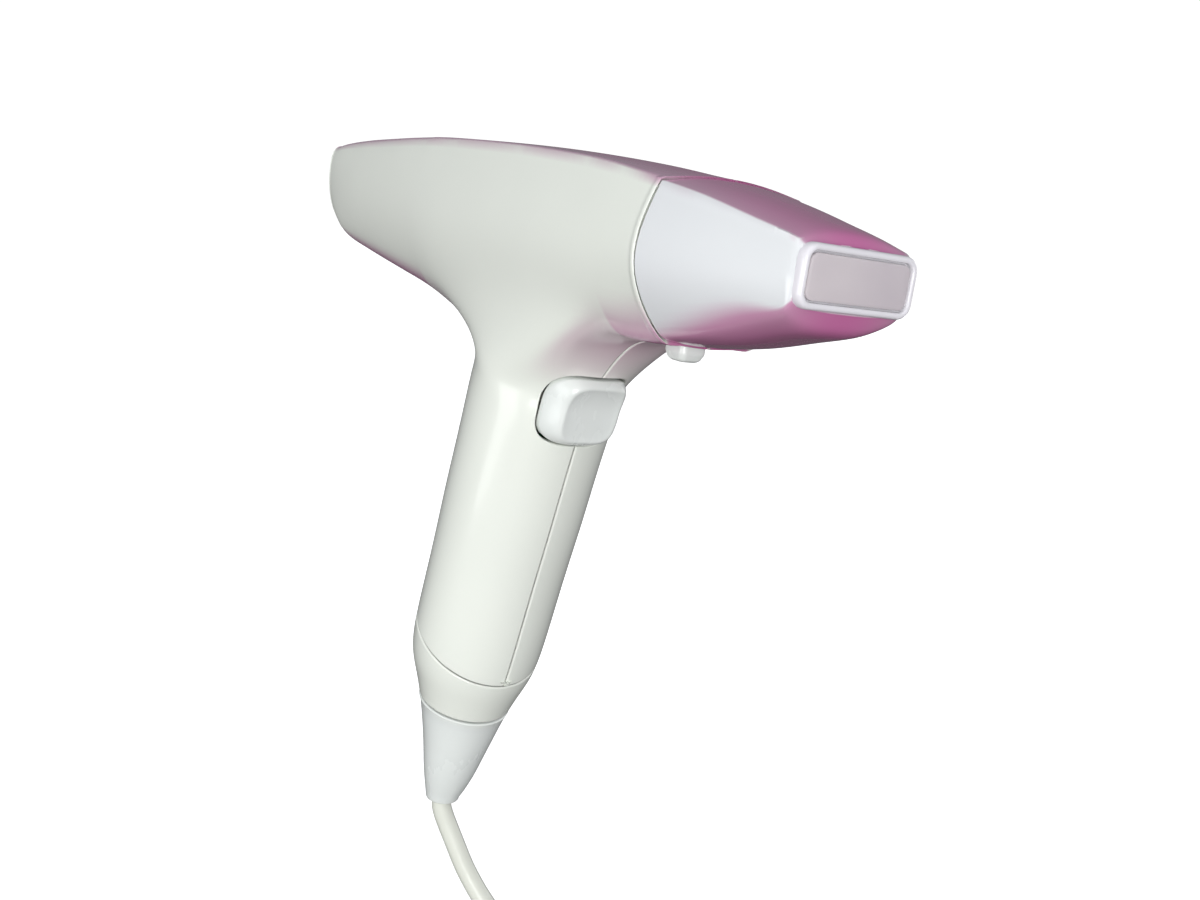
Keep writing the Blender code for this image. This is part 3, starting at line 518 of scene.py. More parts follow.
def take_normals(body, surface):
    """Give a cut piece's outer faces the uncut surface's normals, so that the cuts leave no shading marks."""
    mesh = body.data
    mesh.shade_smooth()
    mesh.set_sharp_from_angle(angle=math.radians(SHARP_ANGLE))
    known = [surface.normal_at(vertex.co, NORMAL_REACH * MM) for vertex in mesh.vertices]
    normals = [Vector((0, 0, 0))] * len(mesh.loops)
    for face in mesh.polygons:
        for corner in face.loop_indices:
            normal = known[mesh.loops[corner].vertex_index]
            if normal is not None and normal.dot(face.normal) > SAME_WAY:
                normals[corner] = normal
    mesh.normals_split_custom_set(normals)


def conforming(name, surface, place, levels):
    """A plug whose rings follow the handle's surface. A level is (half width, half height, distance out,
    how flat across: 0 follows the surface, 1 is level with the middle)."""
    rings = []
    for half_u, half_v, out, flat in levels:
        outline = squircle(half_u, half_v)
        rings.append([Vector((surface.forward_of(place, u * (1.0 - flat), v) + out, u, v))
                      for u, v in outline])
    return lofted(name, rings, place)


def prism(name, outline, low, high, place):
    return lofted(name, [[Vector((u, v, w)) for u, v in outline] for w in (low, high)], place)


def add_mesh(body, *others):
    """Put other objects' meshes into a body's mesh."""
    work = bmesh.new()
    work.from_mesh(body.data)
    for other in others:
        work.from_mesh(other.data)
        bpy.data.objects.remove(other)
    work.to_mesh(body.data)
    work.free()


# ---- finishes ----
class Finish:
    """A node material built up round one Principled shader."""

    def __init__(self, name, colour, roughness, metallic=0.0, **constants):
        self.material = bpy.data.materials.new(name)
        self.material.use_nodes = True
        self.tree = self.material.node_tree
        self.shader = self.tree.nodes["Principled BSDF"]
        self.colour = (*colour, 1.0)
        self.height = None
        self.coordinates = self.tree.nodes.new("ShaderNodeTexCoord").outputs["Object"]
        self.shader.inputs["Base Color"].default_value = self.colour
        self.shader.inputs["Roughness"].default_value = roughness
        self.shader.inputs["Metallic"].default_value = metallic
        for socket, value in constants.items():
            self.shader.inputs[socket.replace("_", " ")].default_value = value

    def put(self, socket, value):
        """Link a socket's value, or set it as a constant."""
        if isinstance(value, bpy.types.NodeSocket):
            self.tree.links.new(value, socket)
        else:
            socket.default_value = value

    def texture(self, kind, scale, stretch):
        mapping = self.tree.nodes.new("ShaderNodeMapping")
        mapping.inputs["Scale"].default_value = stretch
        texture = self.tree.nodes.new(kind)
        texture.inputs["Scale"].default_value = scale
        self.tree.links.new(self.coordinates, mapping.inputs["Vector"])
        self.tree.links.new(mapping.outputs["Vector"], texture.inputs["Vector"])
        return texture

    def noise(self, scale, detail=3.0, stretch=(1.0, 1.0, 1.0)):
        texture = self.texture("ShaderNodeTexNoise", scale, stretch)
        texture.inputs["Detail"].default_value = detail
        return texture.outputs["Fac"]

    def cells(self, scale, stretch=(1.0, 1.0, 1.0)):
        return self.texture("ShaderNodeTexVoronoi", scale, stretch).outputs["Distance"]

    def bands(self, scale, axis):
        texture = self.tree.nodes.new("ShaderNodeTexWave")
        texture.wave_type = "BANDS"
        texture.bands_direction = axis
        texture.inputs["Scale"].default_value = scale
        texture.inputs["Distortion"].default_value = 0.0
        self.tree.links.new(self.coordinates, texture.inputs["Vector"])
        return texture.outputs["Fac"]

    def spread(self, value, low, high, to_low=0.0, to_high=1.0):
        node = self.tree.nodes.new("ShaderNodeMapRange")
        for name, number in (("From Min", low), ("From Max", high), ("To Min", to_low), ("To Max", to_high)):
            node.inputs[name].default_value = number
        self.tree.links.new(value, node.inputs["Value"])
        return node.outputs["Result"]

    def edges(self, low=0.51, high=0.58):
        """1 on outer edges, 0 on flat surfaces."""
        return self.spread(self.tree.nodes.new("ShaderNodeNewGeometry").outputs["Pointiness"], low, high)

    def painted(self, attribute):
        node = self.tree.nodes.new("ShaderNodeAttribute")
        node.attribute_name = attribute
        return node.outputs["Fac"]

    def times(self, a, b):
        node = self.tree.nodes.new("ShaderNodeMath")
        node.operation = "MULTIPLY"
        self.put(node.inputs[0], a)
        self.put(node.inputs[1], b)
        return node.outputs["Value"]

    def tint(self, factor, colour):
        """Mix a colour into the surface's colour."""
        node = self.tree.nodes.new("ShaderNodeMix")
        node.data_type = "RGBA"
        self.put(node.inputs["Factor"], factor)
        self.put(node.inputs["A"], self.colour)
        node.inputs["B"].default_value = (*colour, 1.0)
        self.colour = node.outputs["Result"]
        self.tree.links.new(self.colour, self.shader.inputs["Base Color"])

    def roughness(self, value):
        self.tree.links.new(value, self.shader.inputs["Roughness"])

    def bump(self, height, depth, strength=1.0):
        """Raise the surface by up to depth millimetres."""
        node = self.tree.nodes.new("ShaderNodeBump")
        node.inputs["Strength"].default_value = strength
        node.inputs["Distance"].default_value = depth * MM
        self.tree.links.new(height, node.inputs["Height"])
        if self.height is not None:
            self.tree.links.new(self.height, node.inputs["Normal"])
        self.height = node.outputs["Normal"]
        self.tree.links.new(self.height, self.shader.inputs["Normal"])
        return self


def moulded(name, colour, shade, roughness, wear, grain=0.012):
    """Glossy moulded plastic: cloudy colour, uneven gloss, a fine moulding texture and rubbed edges."""
    made = Finish(name, colour, roughness, Coat_Weight=0.35, Coat_Roughness=0.06, IOR=1.5)
    made.tint(made.spread(made.noise(28.0, 4.0), 0.4, 0.75, 0.0, 0.55), shade)
    made.tint(made.times(made.edges(), 0.5), wear)
    smear = made.noise(55.0, 5.0, (1.0, 1.0, 0.35))
    made.roughness(made.spread(smear, 0.3, 0.7, roughness - 0.05, roughness + 0.07))
    made.bump(made.noise(1600.0, 2.0), grain)
    made.bump(made.noise(90.0, 2.0), 0.03, 0.6)
    return made


def with_painted_pink_light(made, strong, pale):
    """Painted pink light on the crown and belly: the pink that the surroundings cast and reflect there,
    painted into the colour.
    """
    made.tint(made.painted("painted_pink_light"), pale)
    made.tint(made.times(made.painted("painted_pink_light"), made.painted("painted_pink_light_depth")), strong)
    return made


def make_finishes():
    made = {}
    # the shell and the nose take painted pink light on the crown and belly; the strong and pale pinks stand in
    # for pink light from the surroundings
    made["shell_white"] = with_painted_pink_light(moulded("shell_white", (0.80, 0.835, 0.765), (0.765, 0.80, 0.735), 0.20,
                                          (0.87, 0.88, 0.83)), (0.52, 0.155, 0.34), (0.60, 0.42, 0.52))
    made["nose_white"] = with_painted_pink_light(moulded("nose_white", (0.73, 0.755, 0.765), (0.70, 0.72, 0.735), 0.17,
                                         (0.87, 0.86, 0.89)), (0.52, 0.155, 0.34), (0.60, 0.42, 0.52))
    made["shell_white_cap"] = moulded("shell_white_cap", (0.79, 0.825, 0.755), (0.75, 0.785, 0.715), 0.22,
                                      (0.86, 0.87, 0.82))
    made["trim_white"] = moulded("trim_white", (0.77, 0.81, 0.78), (0.73, 0.77, 0.745), 0.24,
                                 (0.86, 0.89, 0.83))
    made["frame_white"] = moulded("frame_white", (0.76, 0.75, 0.78), (0.72, 0.70, 0.76), 0.14,
                                  (0.86, 0.84, 0.90))

    pane = Finish("window_pane", (0.80, 0.74, 0.765), 0.12, Transmission_Weight=0.25, IOR=1.5,
                  Coat_Weight=1.0, Coat_Roughness=0.03)
    pane.tint(pane.spread(pane.noise(45.0, 2.0), 0.35, 0.7), (0.72, 0.66, 0.70))
    pane.roughness(pane.spread(pane.noise(120.0, 3.0), 0.3, 0.7, 0.08, 0.2))
    pane.bump(pane.noise(220.0, 2.0), 0.02)
    made["window_pane"] = pane

    glass = Finish("filter_glass", (0.88, 0.36, 0.12), 0.05, Transmission_Weight=0.8, IOR=1.52)
    glass.tint(glass.spread(glass.noise(70.0), 0.4, 0.8), (0.8, 0.28, 0.1))
    glass.roughness(glass.spread(glass.noise(200.0), 0.3, 0.7, 0.02, 0.1))
    made["filter_glass"] = glass

    quartz = Finish("lamp_quartz", (0.93, 0.94, 0.95), 0.04, Transmission_Weight=0.9, IOR=1.46)
    quartz.tint(quartz.spread(quartz.noise(160.0), 0.45, 0.8, 0.0, 0.4), (0.75, 0.76, 0.8))
    quartz.bump(quartz.noise(150.0), 0.03)
    made["lamp_quartz"] = quartz

    for name, colour, dull, rough, stretch in (
            ("reflector_aluminium", (0.86, 0.87, 0.88), (0.70, 0.70, 0.72), 0.16, (1.0, 0.05, 1.0)),
            ("steel", (0.62, 0.62, 0.63), (0.42, 0.41, 0.40), 0.28, (1.0, 1.0, 0.1)),
            ("contact_brass", (0.80, 0.62, 0.30), (0.60, 0.42, 0.18), 0.25, (0.1, 1.0, 1.0))):
        metal = Finish(name, colour, rough, 1.0)
        metal.tint(metal.spread(metal.noise(300.0, 4.0, stretch), 0.45, 0.8), dull)
        metal.tint(metal.times(metal.edges(), 0.4), tuple(min(1.0, 1.15 * c) for c in colour))
        brushed = metal.noise(900.0, 3.0, stretch)
        metal.roughness(metal.spread(brushed, 0.3, 0.7, rough - 0.06, rough + 0.12))
        metal.bump(brushed, 0.01)
        made[name] = metal

    made["inner_plastic"] = moulded("inner_plastic", (0.72, 0.70, 0.62), (0.66, 0.63, 0.54), 0.42,
                                    (0.80, 0.79, 0.73), 0.03)
    made["dark_plastic"] = moulded("dark_plastic", (0.035, 0.035, 0.038), (0.022, 0.022, 0.024), 0.38,
                                   (0.12, 0.12, 0.12), 0.03)
    ceramic = Finish("ceramic", (0.82, 0.80, 0.76), 0.6)
    ceramic.tint(ceramic.spread(ceramic.noise(400.0, 5.0), 0.5, 0.75), (0.66, 0.63, 0.58))
    ceramic.bump(ceramic.noise(1200.0, 4.0), 0.05)
    made["ceramic"] = ceramic

    sleeve = Finish("capacitor_sleeve", (0.03, 0.045, 0.10), 0.3, Coat_Weight=0.4, Coat_Roughness=0.12)
    sleeve.tint(sleeve.spread(sleeve.noise(80.0, 4.0, (0.3, 1.0, 1.0)), 0.5, 0.8), (0.05, 0.07, 0.15))
    sleeve.bump(sleeve.noise(160.0, 3.0, (0.25, 1.0, 1.0)), 0.12)
    made["capacitor_sleeve"] = sleeve

    board = Finish("circuit_board", (0.02, 0.16, 0.06), 0.35, Coat_Weight=0.5, Coat_Roughness=0.1)
    board.tint(board.spread(board.cells(420.0, (1.0, 1.0, 0.4)), 0.08, 0.05), (0.62, 0.60, 0.55))
    board.tint(board.spread(board.bands(70.0, "Y"), 0.86, 0.9), (0.03, 0.25, 0.10))
    board.bump(board.bands(70.0, "Y"), 0.04)
    made["circuit_board"] = board

    vinyl = moulded("cord_vinyl", (0.72, 0.745, 0.66), (0.66, 0.68, 0.60), 0.33, (0.78, 0.79, 0.72), 0.03)
    made["cord_vinyl"] = vinyl

    strap = Finish("tie_fabric", (0.05, 0.05, 0.055), 0.85, Sheen_Weight=0.5, Sheen_Roughness=0.5)
    strap.tint(strap.spread(strap.noise(900.0, 4.0), 0.45, 0.75), (0.12, 0.12, 0.125))
    strap.bump(strap.cells(1300.0), 0.25)
    made["tie_fabric"] = strap
    return made


FINISHES = {}


def dress(body, finish, body_name="handset"):
    """Give a piece its finish and put it on a CAD body."""
    body.data.materials.clear()
    body.data.materials.append(FINISHES[finish].material)
    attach(body, body_name)
    return body


# ---- the cord ----
def smooth_route(stops, steps):
    """A Catmull-Rom curve through the stops, with a number of steps between each two."""
    ends = [stops[0] * 2 - stops[1]] + stops + [stops[-1] * 2 - stops[-2]]
    fine = []
    for a, b, c, d in zip(ends, ends[1:], ends[2:], ends[3:]):
        for i in range(steps):
            u = i / steps
            fine.append(0.5 * (2 * b + (c - a) * u + (2 * a - 5 * b + 4 * c - d) * u ** 2
                               + (3 * b - a - 3 * c + d) * u ** 3))
    fine.append(stops[-1])
    return fine


def clamp(f):
    return min(1.0, max(0.0, f))


def smooth_step(f):
    return f * f * (3 - 2 * f)


def coil_stop(turns):
    """Where the wound cord is after some turns from the ring's top. It goes in along one side column,
    out along the middle one and in along the other, stepping across with room for the turn beside it."""
    inner = OUTER_TURN_RADIUS - 2 * TURN_PITCH
    side = -TURN_PITCH
    if turns <= 2:
        radius = OUTER_TURN_RADIUS - TURN_PITCH * turns
    elif turns <= 3:
        radius = inner - STEP_ACROSS * math.sin(math.pi * (turns - 2)) ** 0.75
        side = -TURN_PITCH * (1 - smooth_step(turns - 2))
    elif turns <= 5:
        radius = inner + TURN_PITCH * (turns - 3)
        side = 0.0
    elif turns <= 6:
        radius = OUTER_TURN_RADIUS + STEP_ACROSS * math.sin(math.pi * (turns - 5)) ** 0.75
        side = TURN_PITCH * smooth_step(turns - 5)
    elif turns <= 8:
        radius = OUTER_TURN_RADIUS - TURN_PITCH * (turns - 6)
        side = TURN_PITCH
    else:
        radius = inner
        side = TURN_PITCH + TAIL_SHIFT * smooth_step(4 * (turns - 8))
    angle = math.pi / 2 + 2 * math.pi * turns
    top_t, top_z = COIL_TOP
    height = top_z - OUTER_TURN_RADIUS + radius * math.sin(angle)
    return cord_point(top_t + radius * math.cos(angle), height, side)


def make_cord():
    start = (0.0, EXIT_Z + 0.5, 0.0)
    stops = [cord_point(*start)] + [cord_point(*stop) for stop in LEAD_ROUTE]
    wound = round(COIL_TURNS * STOPS_PER_TURN)
    stops += [coil_stop(i / STOPS_PER_TURN) for i in range(wound + 1)]
    stops += [cord_point(*stop) for stop in TAIL_ROUTE]
    points = smooth_route(stops, 3)
    curve = bpy.data.curves.new("power_cord", "CURVE")
    curve.dimensions = "3D"
    curve.bevel_depth = CORD_RADIUS * MM
    curve.bevel_resolution = 6
    curve.use_fill_caps = True
    spline = curve.splines.new("POLY")
    spline.points.add(len(points) - 1)
    for spot, point in zip(spline.points, points):
        spot.co = (*point, 1.0)
    spline.use_smooth = True
    cord = link("power_cord", curve)
    dress(cord, "cord_vinyl")
    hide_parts("cord_lead", "cord_coil", "cord_tail")
    length = sum((b - a).length for a, b in zip(points, points[1:]))
    return cord, length


def make_tie():
    """The strap round the wound cord: a soft band with rolled edges and an overlapping end."""
    top_t, top_z = COIL_TOP
    place = cord_frame(top_t, top_z - OUTER_TURN_RADIUS + COIL_RADIUS, 0.0)
    place = place @ Matrix.Rotation(math.radians(90.0), 4, "Y")
    rings = []
    for grow, w in ((0.2, -5.0), (0.95, -4.7), (1.05, -4.0), (1.0, 0.0), (1.05, 4.0), (0.95, 4.7), (0.2, 5.0),
                    (0.1, 4.5), (0.1, 0.0), (0.1, -4.5)):
        outline = rounded_outline(TIE_HALF_U + grow, TIE_HALF_V + grow, 3.2 + grow)
        rings.append([Vector((u, v, w)) for u, v in outline])
    rings.append(rings[0])
    tie = lofted("cord_tie_strap", rings, place, closed_ends=False)
    flap_place = place @ Matrix.Translation((TIE_HALF_U * MM + 1.5 * MM, 1.2 * MM, 0))
    flap = block("flap", (1.1, 11.0, 9.0), flap_place, 0.45)
    add_mesh(tie, flap)
    dress(tie, "tie_fabric")
    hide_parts("cord_tie")
    return tie


def make_plug():
    """The round low-voltage plug: a moulded body with a ribbed neck, and a hollow metal barrel."""
    t, z, side = TAIL_ROUTE[-1]
    down = cord_frame(t, z - GAP, side) @ Matrix.Rotation(math.radians(90.0), 4, "X")
    profile = [(2.75, 0.0), (3.2, 0.15), (3.4, 0.5)]
    for rib in range(4):
        low = 1.4 + rib * 1.9
        waist = 2.95 + 0.25 * rib
        profile += [(waist + 0.55, low - 0.5), (waist, low), (waist, low + 0.7), (waist + 0.65, low + 1.1)]
    profile += [(4.6, 9.2), (5.0, 10.2), (5.25, 11.2), (5.4, 12.4), (5.4, 15.0), (5.15, 15.3)]
    profile += [(5.15, 16.1), (5.4, 16.4), (5.4, 17.4), (5.15, 17.7), (5.15, 18.5), (5.4, 18.8)]
    profile += [(5.4, 26.6), (5.25, 27.4), (4.8, 28.0)]
    body = turned("plug_body_moulded", profile, down)
    dress(body, "cord_vinyl")
    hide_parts("plug_body")
    tube = [(2.75, 28.05), (2.75, 36.9), (2.6, 37.5), (2.3, 37.8)]
    tube += [(1.35, 37.8), (1.1, 37.5), (1.1, 30.0), (2.0, 28.05)]
    barrel = turned("plug_barrel_turned", tube, down, closed=True)
    dress(barrel, "steel")
    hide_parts("plug_barrel")
    return body, barrel


# ---- the outer pieces ----
def painted_pink_light_share(point, normal):
    """How much painted pink light the skin takes at a point: the crown above the creases, and the belly."""
    x = point.x / MM - HEAD_X
    z = point.z / MM - HEAD_Z
    for near, far in zip(ALL_STATIONS, ALL_STATIONS[1:]):
        if near[0] <= x <= far[0]:
            share = (x - near[0]) / (far[0] - near[0])
            crease_z = near[3][1] + share * (far[3][1] - near[3][1])
            break
    else:
        crease_z = 12.0 if x < 0 else 6.0
    soft = 0.25 + max(0.0, (SEAM_X - x) / 90.0)
    crown = clamp(0.5 + (z - crease_z - 0.15) / soft)
    nose = clamp((x - SEAM_X) / (PLATE_X - SEAM_X))
    low, width = (0.46, 0.38) if x < SEAM_X else (0.66 - 0.34 * nose, 0.24)
    # downward faces take painted pink light from below; it is weaker on the neck, which is in shade
    down = -normal.z / max(0.2, math.hypot(normal.y, normal.z))
    below = clamp((down - low) / width) if z < -4.0 else 0.0
    neck = 0.35 if -45.0 < x < 34.0 else 1.0
    above_grip = clamp((z + 34.0) / 12.0)
    return max(smooth_step(crown), smooth_step(below) * above_grip * neck)


def paint_pink_light(body):
    """Store how much painted pink light the skin takes, and how deep, at each corner of the mesh."""
    mesh = body.data
    painted_pink_light = mesh.attributes.new("painted_pink_light", "FLOAT", "POINT")
    depth = mesh.attributes.new("painted_pink_light_depth", "FLOAT", "POINT")
    for vertex in mesh.vertices:
        y = abs(vertex.co.y) / MM
        painted_pink_light.data[vertex.index].value = painted_pink_light_share(vertex.co, vertex.normal)
        # the painted pink light is deepest along the middle of the crown and belly
        depth.data[vertex.index].value = 1.0 - 0.75 * min(1.0, y / 17.0) ** 2


# Edge profiles: (distance from the edge, push along the skin's normal)
PARTING_EDGE = ((0.0, -0.42), (0.1, -0.17), (0.25, -0.05), (0.5, 0.0))
CAP_EDGE = ((0.0, -0.35), (0.1, -0.13), (0.25, -0.04), (0.55, 0.0))
SEAM_LIP = ((0.0, 0.04), (0.08, 0.14), (0.25, 0.23), (0.5, 0.26), (0.85, 0.24), (1.2, 0.14), (1.7, 0.03),
            (2.3, 0.0))
NOSE_EDGE = ((0.0, -0.03), (0.1, 0.0), (0.3, 0.0))
PARTING = Matrix.Rotation(math.radians(-90.0), 4, "X")


def cut_skin(name, skin, cuts, thickness):
    """A walled piece of the skin between planes. A cut is (frame, side kept, edge profile), with a gap if it
    isn't the usual one."""
    work = bmesh.new()
    work.from_mesh(skin.data)
    for cut in cuts:
        open_edge(work, *cut)
    bmesh.ops.recalc_face_normals(work, faces=work.faces)
    mesh = bpy.data.meshes.new(name)
    work.to_mesh(mesh)
    work.free()
    body = link(name, mesh)
    give_wall(body, thickness)
    return body


def mirror(name, body):
    mesh = body.data.copy()
    mesh.transform(Matrix.Diagonal((1.0, -1.0, 1.0, 1.0)))
    mesh.flip_normals()
    return link(name, mesh)


def make_housing():
    skin = housing_skin()
    surface = Surface(skin)
    seam = facing_x(SEAM_X, 0.0, 0.0)
    cap_frame = handle_frame(CAP_S) @ Matrix.Rotation(CAP_TILT, 4, "Y")
    right = cut_skin("right_shell_skin", skin, (
        (seam, -1, SEAM_LIP, FINE_GAP), (cap_frame, 1, CAP_EDGE), (PARTING, -1, PARTING_EDGE)), WALL)
    carve(right, prism("rear_cut", rounded_outline(7.0, 10.5, 4.5), -10.0, 10.0,
                       facing_x(-105.0, 0.0, GRILLE_Z)))
    hole_u = TRIGGER_HALF_WIDTH + 0.5
    hole_v = TRIGGER_HALF_HEIGHT + 0.5
    flare = ((0.0, -6.0), (0.0, -0.55), (0.07, -0.25), (0.25, -0.06), (0.6, 0.06), (3.0, 0.8), (3.0, 4.0))
    carve(right, conforming("trigger_hole", surface, handle_frame(TRIGGER_S),
                            [(hole_u + more, hole_v + more, out, 0.0) for more, out in flare]))
    half = RELEASE_HALF + 0.4
    carve(right, prism("release_hole", rounded_outline(half, half, 1.5), -8.0, 8.0,
                       head_frame(RELEASE_X, 0.0, -18.5)))
    left = mirror("left_shell_skin", right)
    spots = [(facing_y(x, z), wall) for x, z, wall in SCREWS_IN_HEAD]
    spots += [(handle_frame(s, forward) @ PARTING, wall) for s, forward, wall in SCREWS_IN_HANDLE]
    for place, wall in spots:
        flared = [(2.9, 4.0), (2.9, wall - 0.9), (3.0, wall - 0.45), (3.3, wall - 0.1), (5.0, wall + 0.6),
                  (5.0, wall + 5.0)]
        post = [(1.3, -0.5), (2.8, -0.5), (2.8, 1.0 - wall), (1.3, 1.0 - wall)]
        boss = [(1.6, 0.5), (3.9, 0.5), (3.9, wall - 1.0), (3.0, wall - 1.0), (3.0, 4.0), (1.6, 4.0)]
        add_mesh(right, turned("post", post, place, closed=True))
        carve(left, turned("recess", flared, place))
        add_mesh(left, turned("boss", boss, place, closed=True))
    for body in (right, left):
        take_normals(body, surface)
        # painted pink light on the crown and belly
        paint_pink_light(body)
        dress(body, "shell_white")
    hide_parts("right_shell")
    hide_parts("left_shell")
    cap = cut_skin("handle_end_cap_skin", skin, (
        (cap_frame, -1, CAP_EDGE), (handle_frame(BOOT_S), 1, CAP_EDGE)), WALL)
    take_normals(cap, surface)
    dress(cap, "shell_white_cap")
    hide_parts("handle_end_cap")
    bpy.data.objects.remove(skin)
    return surface


def facing_y(x, z):
    return head_frame(x, 0.0, z, "X", -90.0)


def make_boot():
    """The strain relief: a smooth taper with a rounded end that the cord leaves through."""
    stops = [Vector((s, radius, forward)) for s, radius, _, forward in HANDLE_RINGS[6:]]
    rings = []
    for radius, drop in ((11.2, 0.0), (11.6, 0.12), (11.85, 0.45)):
        rings.append([handle_frame(BOOT_S + GAP, 1.15) @ (point * MM)
                      for point in circle(radius, BOOT_SIDES, -drop)])
    for s, radius, forward in smooth_route(stops, 5):
        if BOOT_S + 1.0 < s < EXIT_S - 2.0:
            level = smooth_step((s - BOOT_S) / (EXIT_S - BOOT_S))
            place = handle_frame(s, forward)
            spot = place.translation.copy()
            place = Matrix.Translation(spot) @ Matrix.Rotation(RAKE * (1.0 - level), 4, "Y")
            rings.append([place @ (point * MM) for point in circle(radius, BOOT_SIDES, 0.0)])
    end = [(4.5, -0.3), (4.35, 0.35), (4.1, 0.7), (3.75, 0.88), (3.4, 0.85), (3.0, 0.55), (2.8, 0.0),
           (2.75, -4.0)]
    rings += [[cord_point(0.0, EXIT_Z - drop, 0.0) + point * MM for point in circle(radius, BOOT_SIDES, 0.0)]
              for radius, drop in end]
    boot = lofted("cord_boot_moulded", rings, millimetres=False)
    dress(boot, "trim_white")
    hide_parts("cord_boot")


def make_grille():
    """The vent insert: a plate with rounded slots and softened edges."""
    place = facing_x(GRILLE_X, 0.0, GRILLE_Z) @ Matrix.Rotation(-GRILLE_TILT, 4, "Y")
    grille = prism("rear_grille_moulded", rounded_outline(6.65, 10.15, 4.15), 0.0, 2.6, place)
    for i in range(-2, 3):
        slot_place = place @ Matrix.Translation((0, i * SLOT_PITCH * MM, 0))
        carve(grille, prism("slot", rounded_outline(4.8, 0.8, 0.78, 6), -6.0, 6.0, slot_place))
    soften = grille.modifiers.new("soften", "BEVEL")
    soften.width = 0.18 * MM
    soften.segments = 2
    soften.limit_method = "ANGLE"
    soften.angle_limit = math.radians(50.0)
    bake(grille)
    smooth_shade(grille, 40.0)
    dress(grille, "trim_white")
    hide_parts("rear_grille")


def make_trigger(surface):
    """The pulse button: a bevelled border round a slightly dished face."""
    u = TRIGGER_HALF_WIDTH
    v = TRIGGER_HALF_HEIGHT
    place = handle_frame(TRIGGER_S)
    levels = [(u - 0.4, v - 0.4, -4.3, 1.0), (u, v, -4.0, 1.0), (u, v, 0.15, 0.0)]
    levels += [(u - in_u, v - in_v, out, flat) for in_u, in_v, out, flat in (
        (0.05, 0.04, 0.45, 0.0), (0.2, 0.14, 0.75, 0.02), (0.5, 0.3, 1.05, 0.08), (1.2, 0.62, 1.5, 0.35),
        (1.9, 0.98, 1.95, 0.66), (2.3, 1.25, 2.24, 0.84), (2.6, 1.5, 2.42, 0.94), (2.9, 1.75, 2.5, 1.0),
        (3.2, 2.0, 2.48, 1.0), (3.6, 2.35, 2.4, 1.0), (4.3, 3.0, 2.34, 1.0), (5.6, 4.2, 2.3, 1.0),
        (7.2, 5.8, 2.28, 1.0), (8.6, 7.2, 2.28, 1.0))]
    trigger = conforming("trigger_button_moulded", surface, place, levels)
    dress(trigger, "trim_white", "trigger")
    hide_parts("trigger_button")


def make_release():
    """The cartridge's release button, with two chamfers to its tip."""
    half = RELEASE_HALF
    tip = RELEASE_TIP_Z
    levels = ((half - 1.75, 0.85, tip), (half - 1.35, 1.0, tip + 0.04), (half - 1.05, 1.1, tip + 0.18),
              (half - 0.62, 1.25, tip + 0.52), (half - 0.5, 1.3, tip + 0.68), (half - 0.15, 1.38, tip + 1.55),
              (half - 0.03, 1.4, tip + 1.85), (half, 1.4, tip + 2.15), (half, 1.4, -15.8),
              (half + 1.2, 1.4, -15.8), (half + 1.2, 1.4, -14.5))
    rings = [[Vector((a, b, z)) for a, b in rounded_outline(size, size, corner)] for size, corner, z in levels]
    button = lofted("release_button_moulded", rings, head_frame(RELEASE_X, 0.0, 0.0))
    tooth = block("tooth", (1.6, 5.0, 1.8), head_frame(RELEASE_X + 1.4, 0.0, -13.9), 0.2)
    add_mesh(button, tooth)
    dress(button, "trim_white", "release")
    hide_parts("release_button")


def make_nose():
    skin = nose_skin()
    surface = Surface(skin)
    nose = cut_skin("nose_shell_skin", skin, ((facing_x(SEAM_X, 0.0, 0.0), 1, NOSE_EDGE, FINE_GAP),), 1.6)
    take_normals(nose, surface)
    # painted pink light on the crown and belly
    paint_pink_light(nose)
    dress(nose, "nose_white", "cartridge")
    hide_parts("nose_shell")
    bpy.data.objects.remove(skin)


def make_window():
    """The frame round the treatment window, with a rolled rim, and the pane set into it."""
    width = PLATE_HALF_WIDTH
    height = PLATE_HALF_HEIGHT
    levels = [(12.3, 3.9, 1.5, -5.0), (12.3, 3.9, 1.5, -1.9), (width - 0.5, height - 0.5, 2.7, -1.9)]
    levels += [(width - less, height - less, 3.0 - less, x) for less, x in (
        (-0.1, -2.1), (-0.15, -1.5), (-0.1, -0.8), (0.05, -0.35), (0.25, -0.1), (0.5, 0.0), (0.8, 0.0),
        (1.02, -0.06), (1.15, -0.2), (1.2, -0.45), (1.22, -1.2))]
    levels += [(11.3, 3.1, 1.2, -1.2), (11.3, 3.1, 1.2, -5.0)]
    rings = []
    for half_width, half_height, corner, x in levels:
        outline = rounded_outline(half_width, half_height, corner)
        rings.append([Vector((PLATE_X + x + HEAD_X, a, b + HEAD_Z)) for a, b in outline])
    rings.append(rings[0])
    frame_body = lofted("window_frame_moulded", rings, closed_ends=False)
    dress(frame_body, "frame_white", "cartridge")
    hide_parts("window_frame")
    rings = []
    for less, x in ((0.1, -0.95), (0.0, -0.85), (0.0, -0.5), (0.06, -0.36), (0.25, -0.27), (0.6, -0.22),
                    (2.0, -0.17)):
        outline = rounded_outline(width - RIM_WIDTH - less, height - RIM_WIDTH - less, max(0.6, 1.75 - less))
        rings.append([Vector((PLATE_X + x + HEAD_X, a, b + HEAD_Z)) for a, b in outline])
    pane = lofted("window_glass_pane", rings)
    dress(pane, "window_pane", "cartridge")
    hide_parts("window_glass")


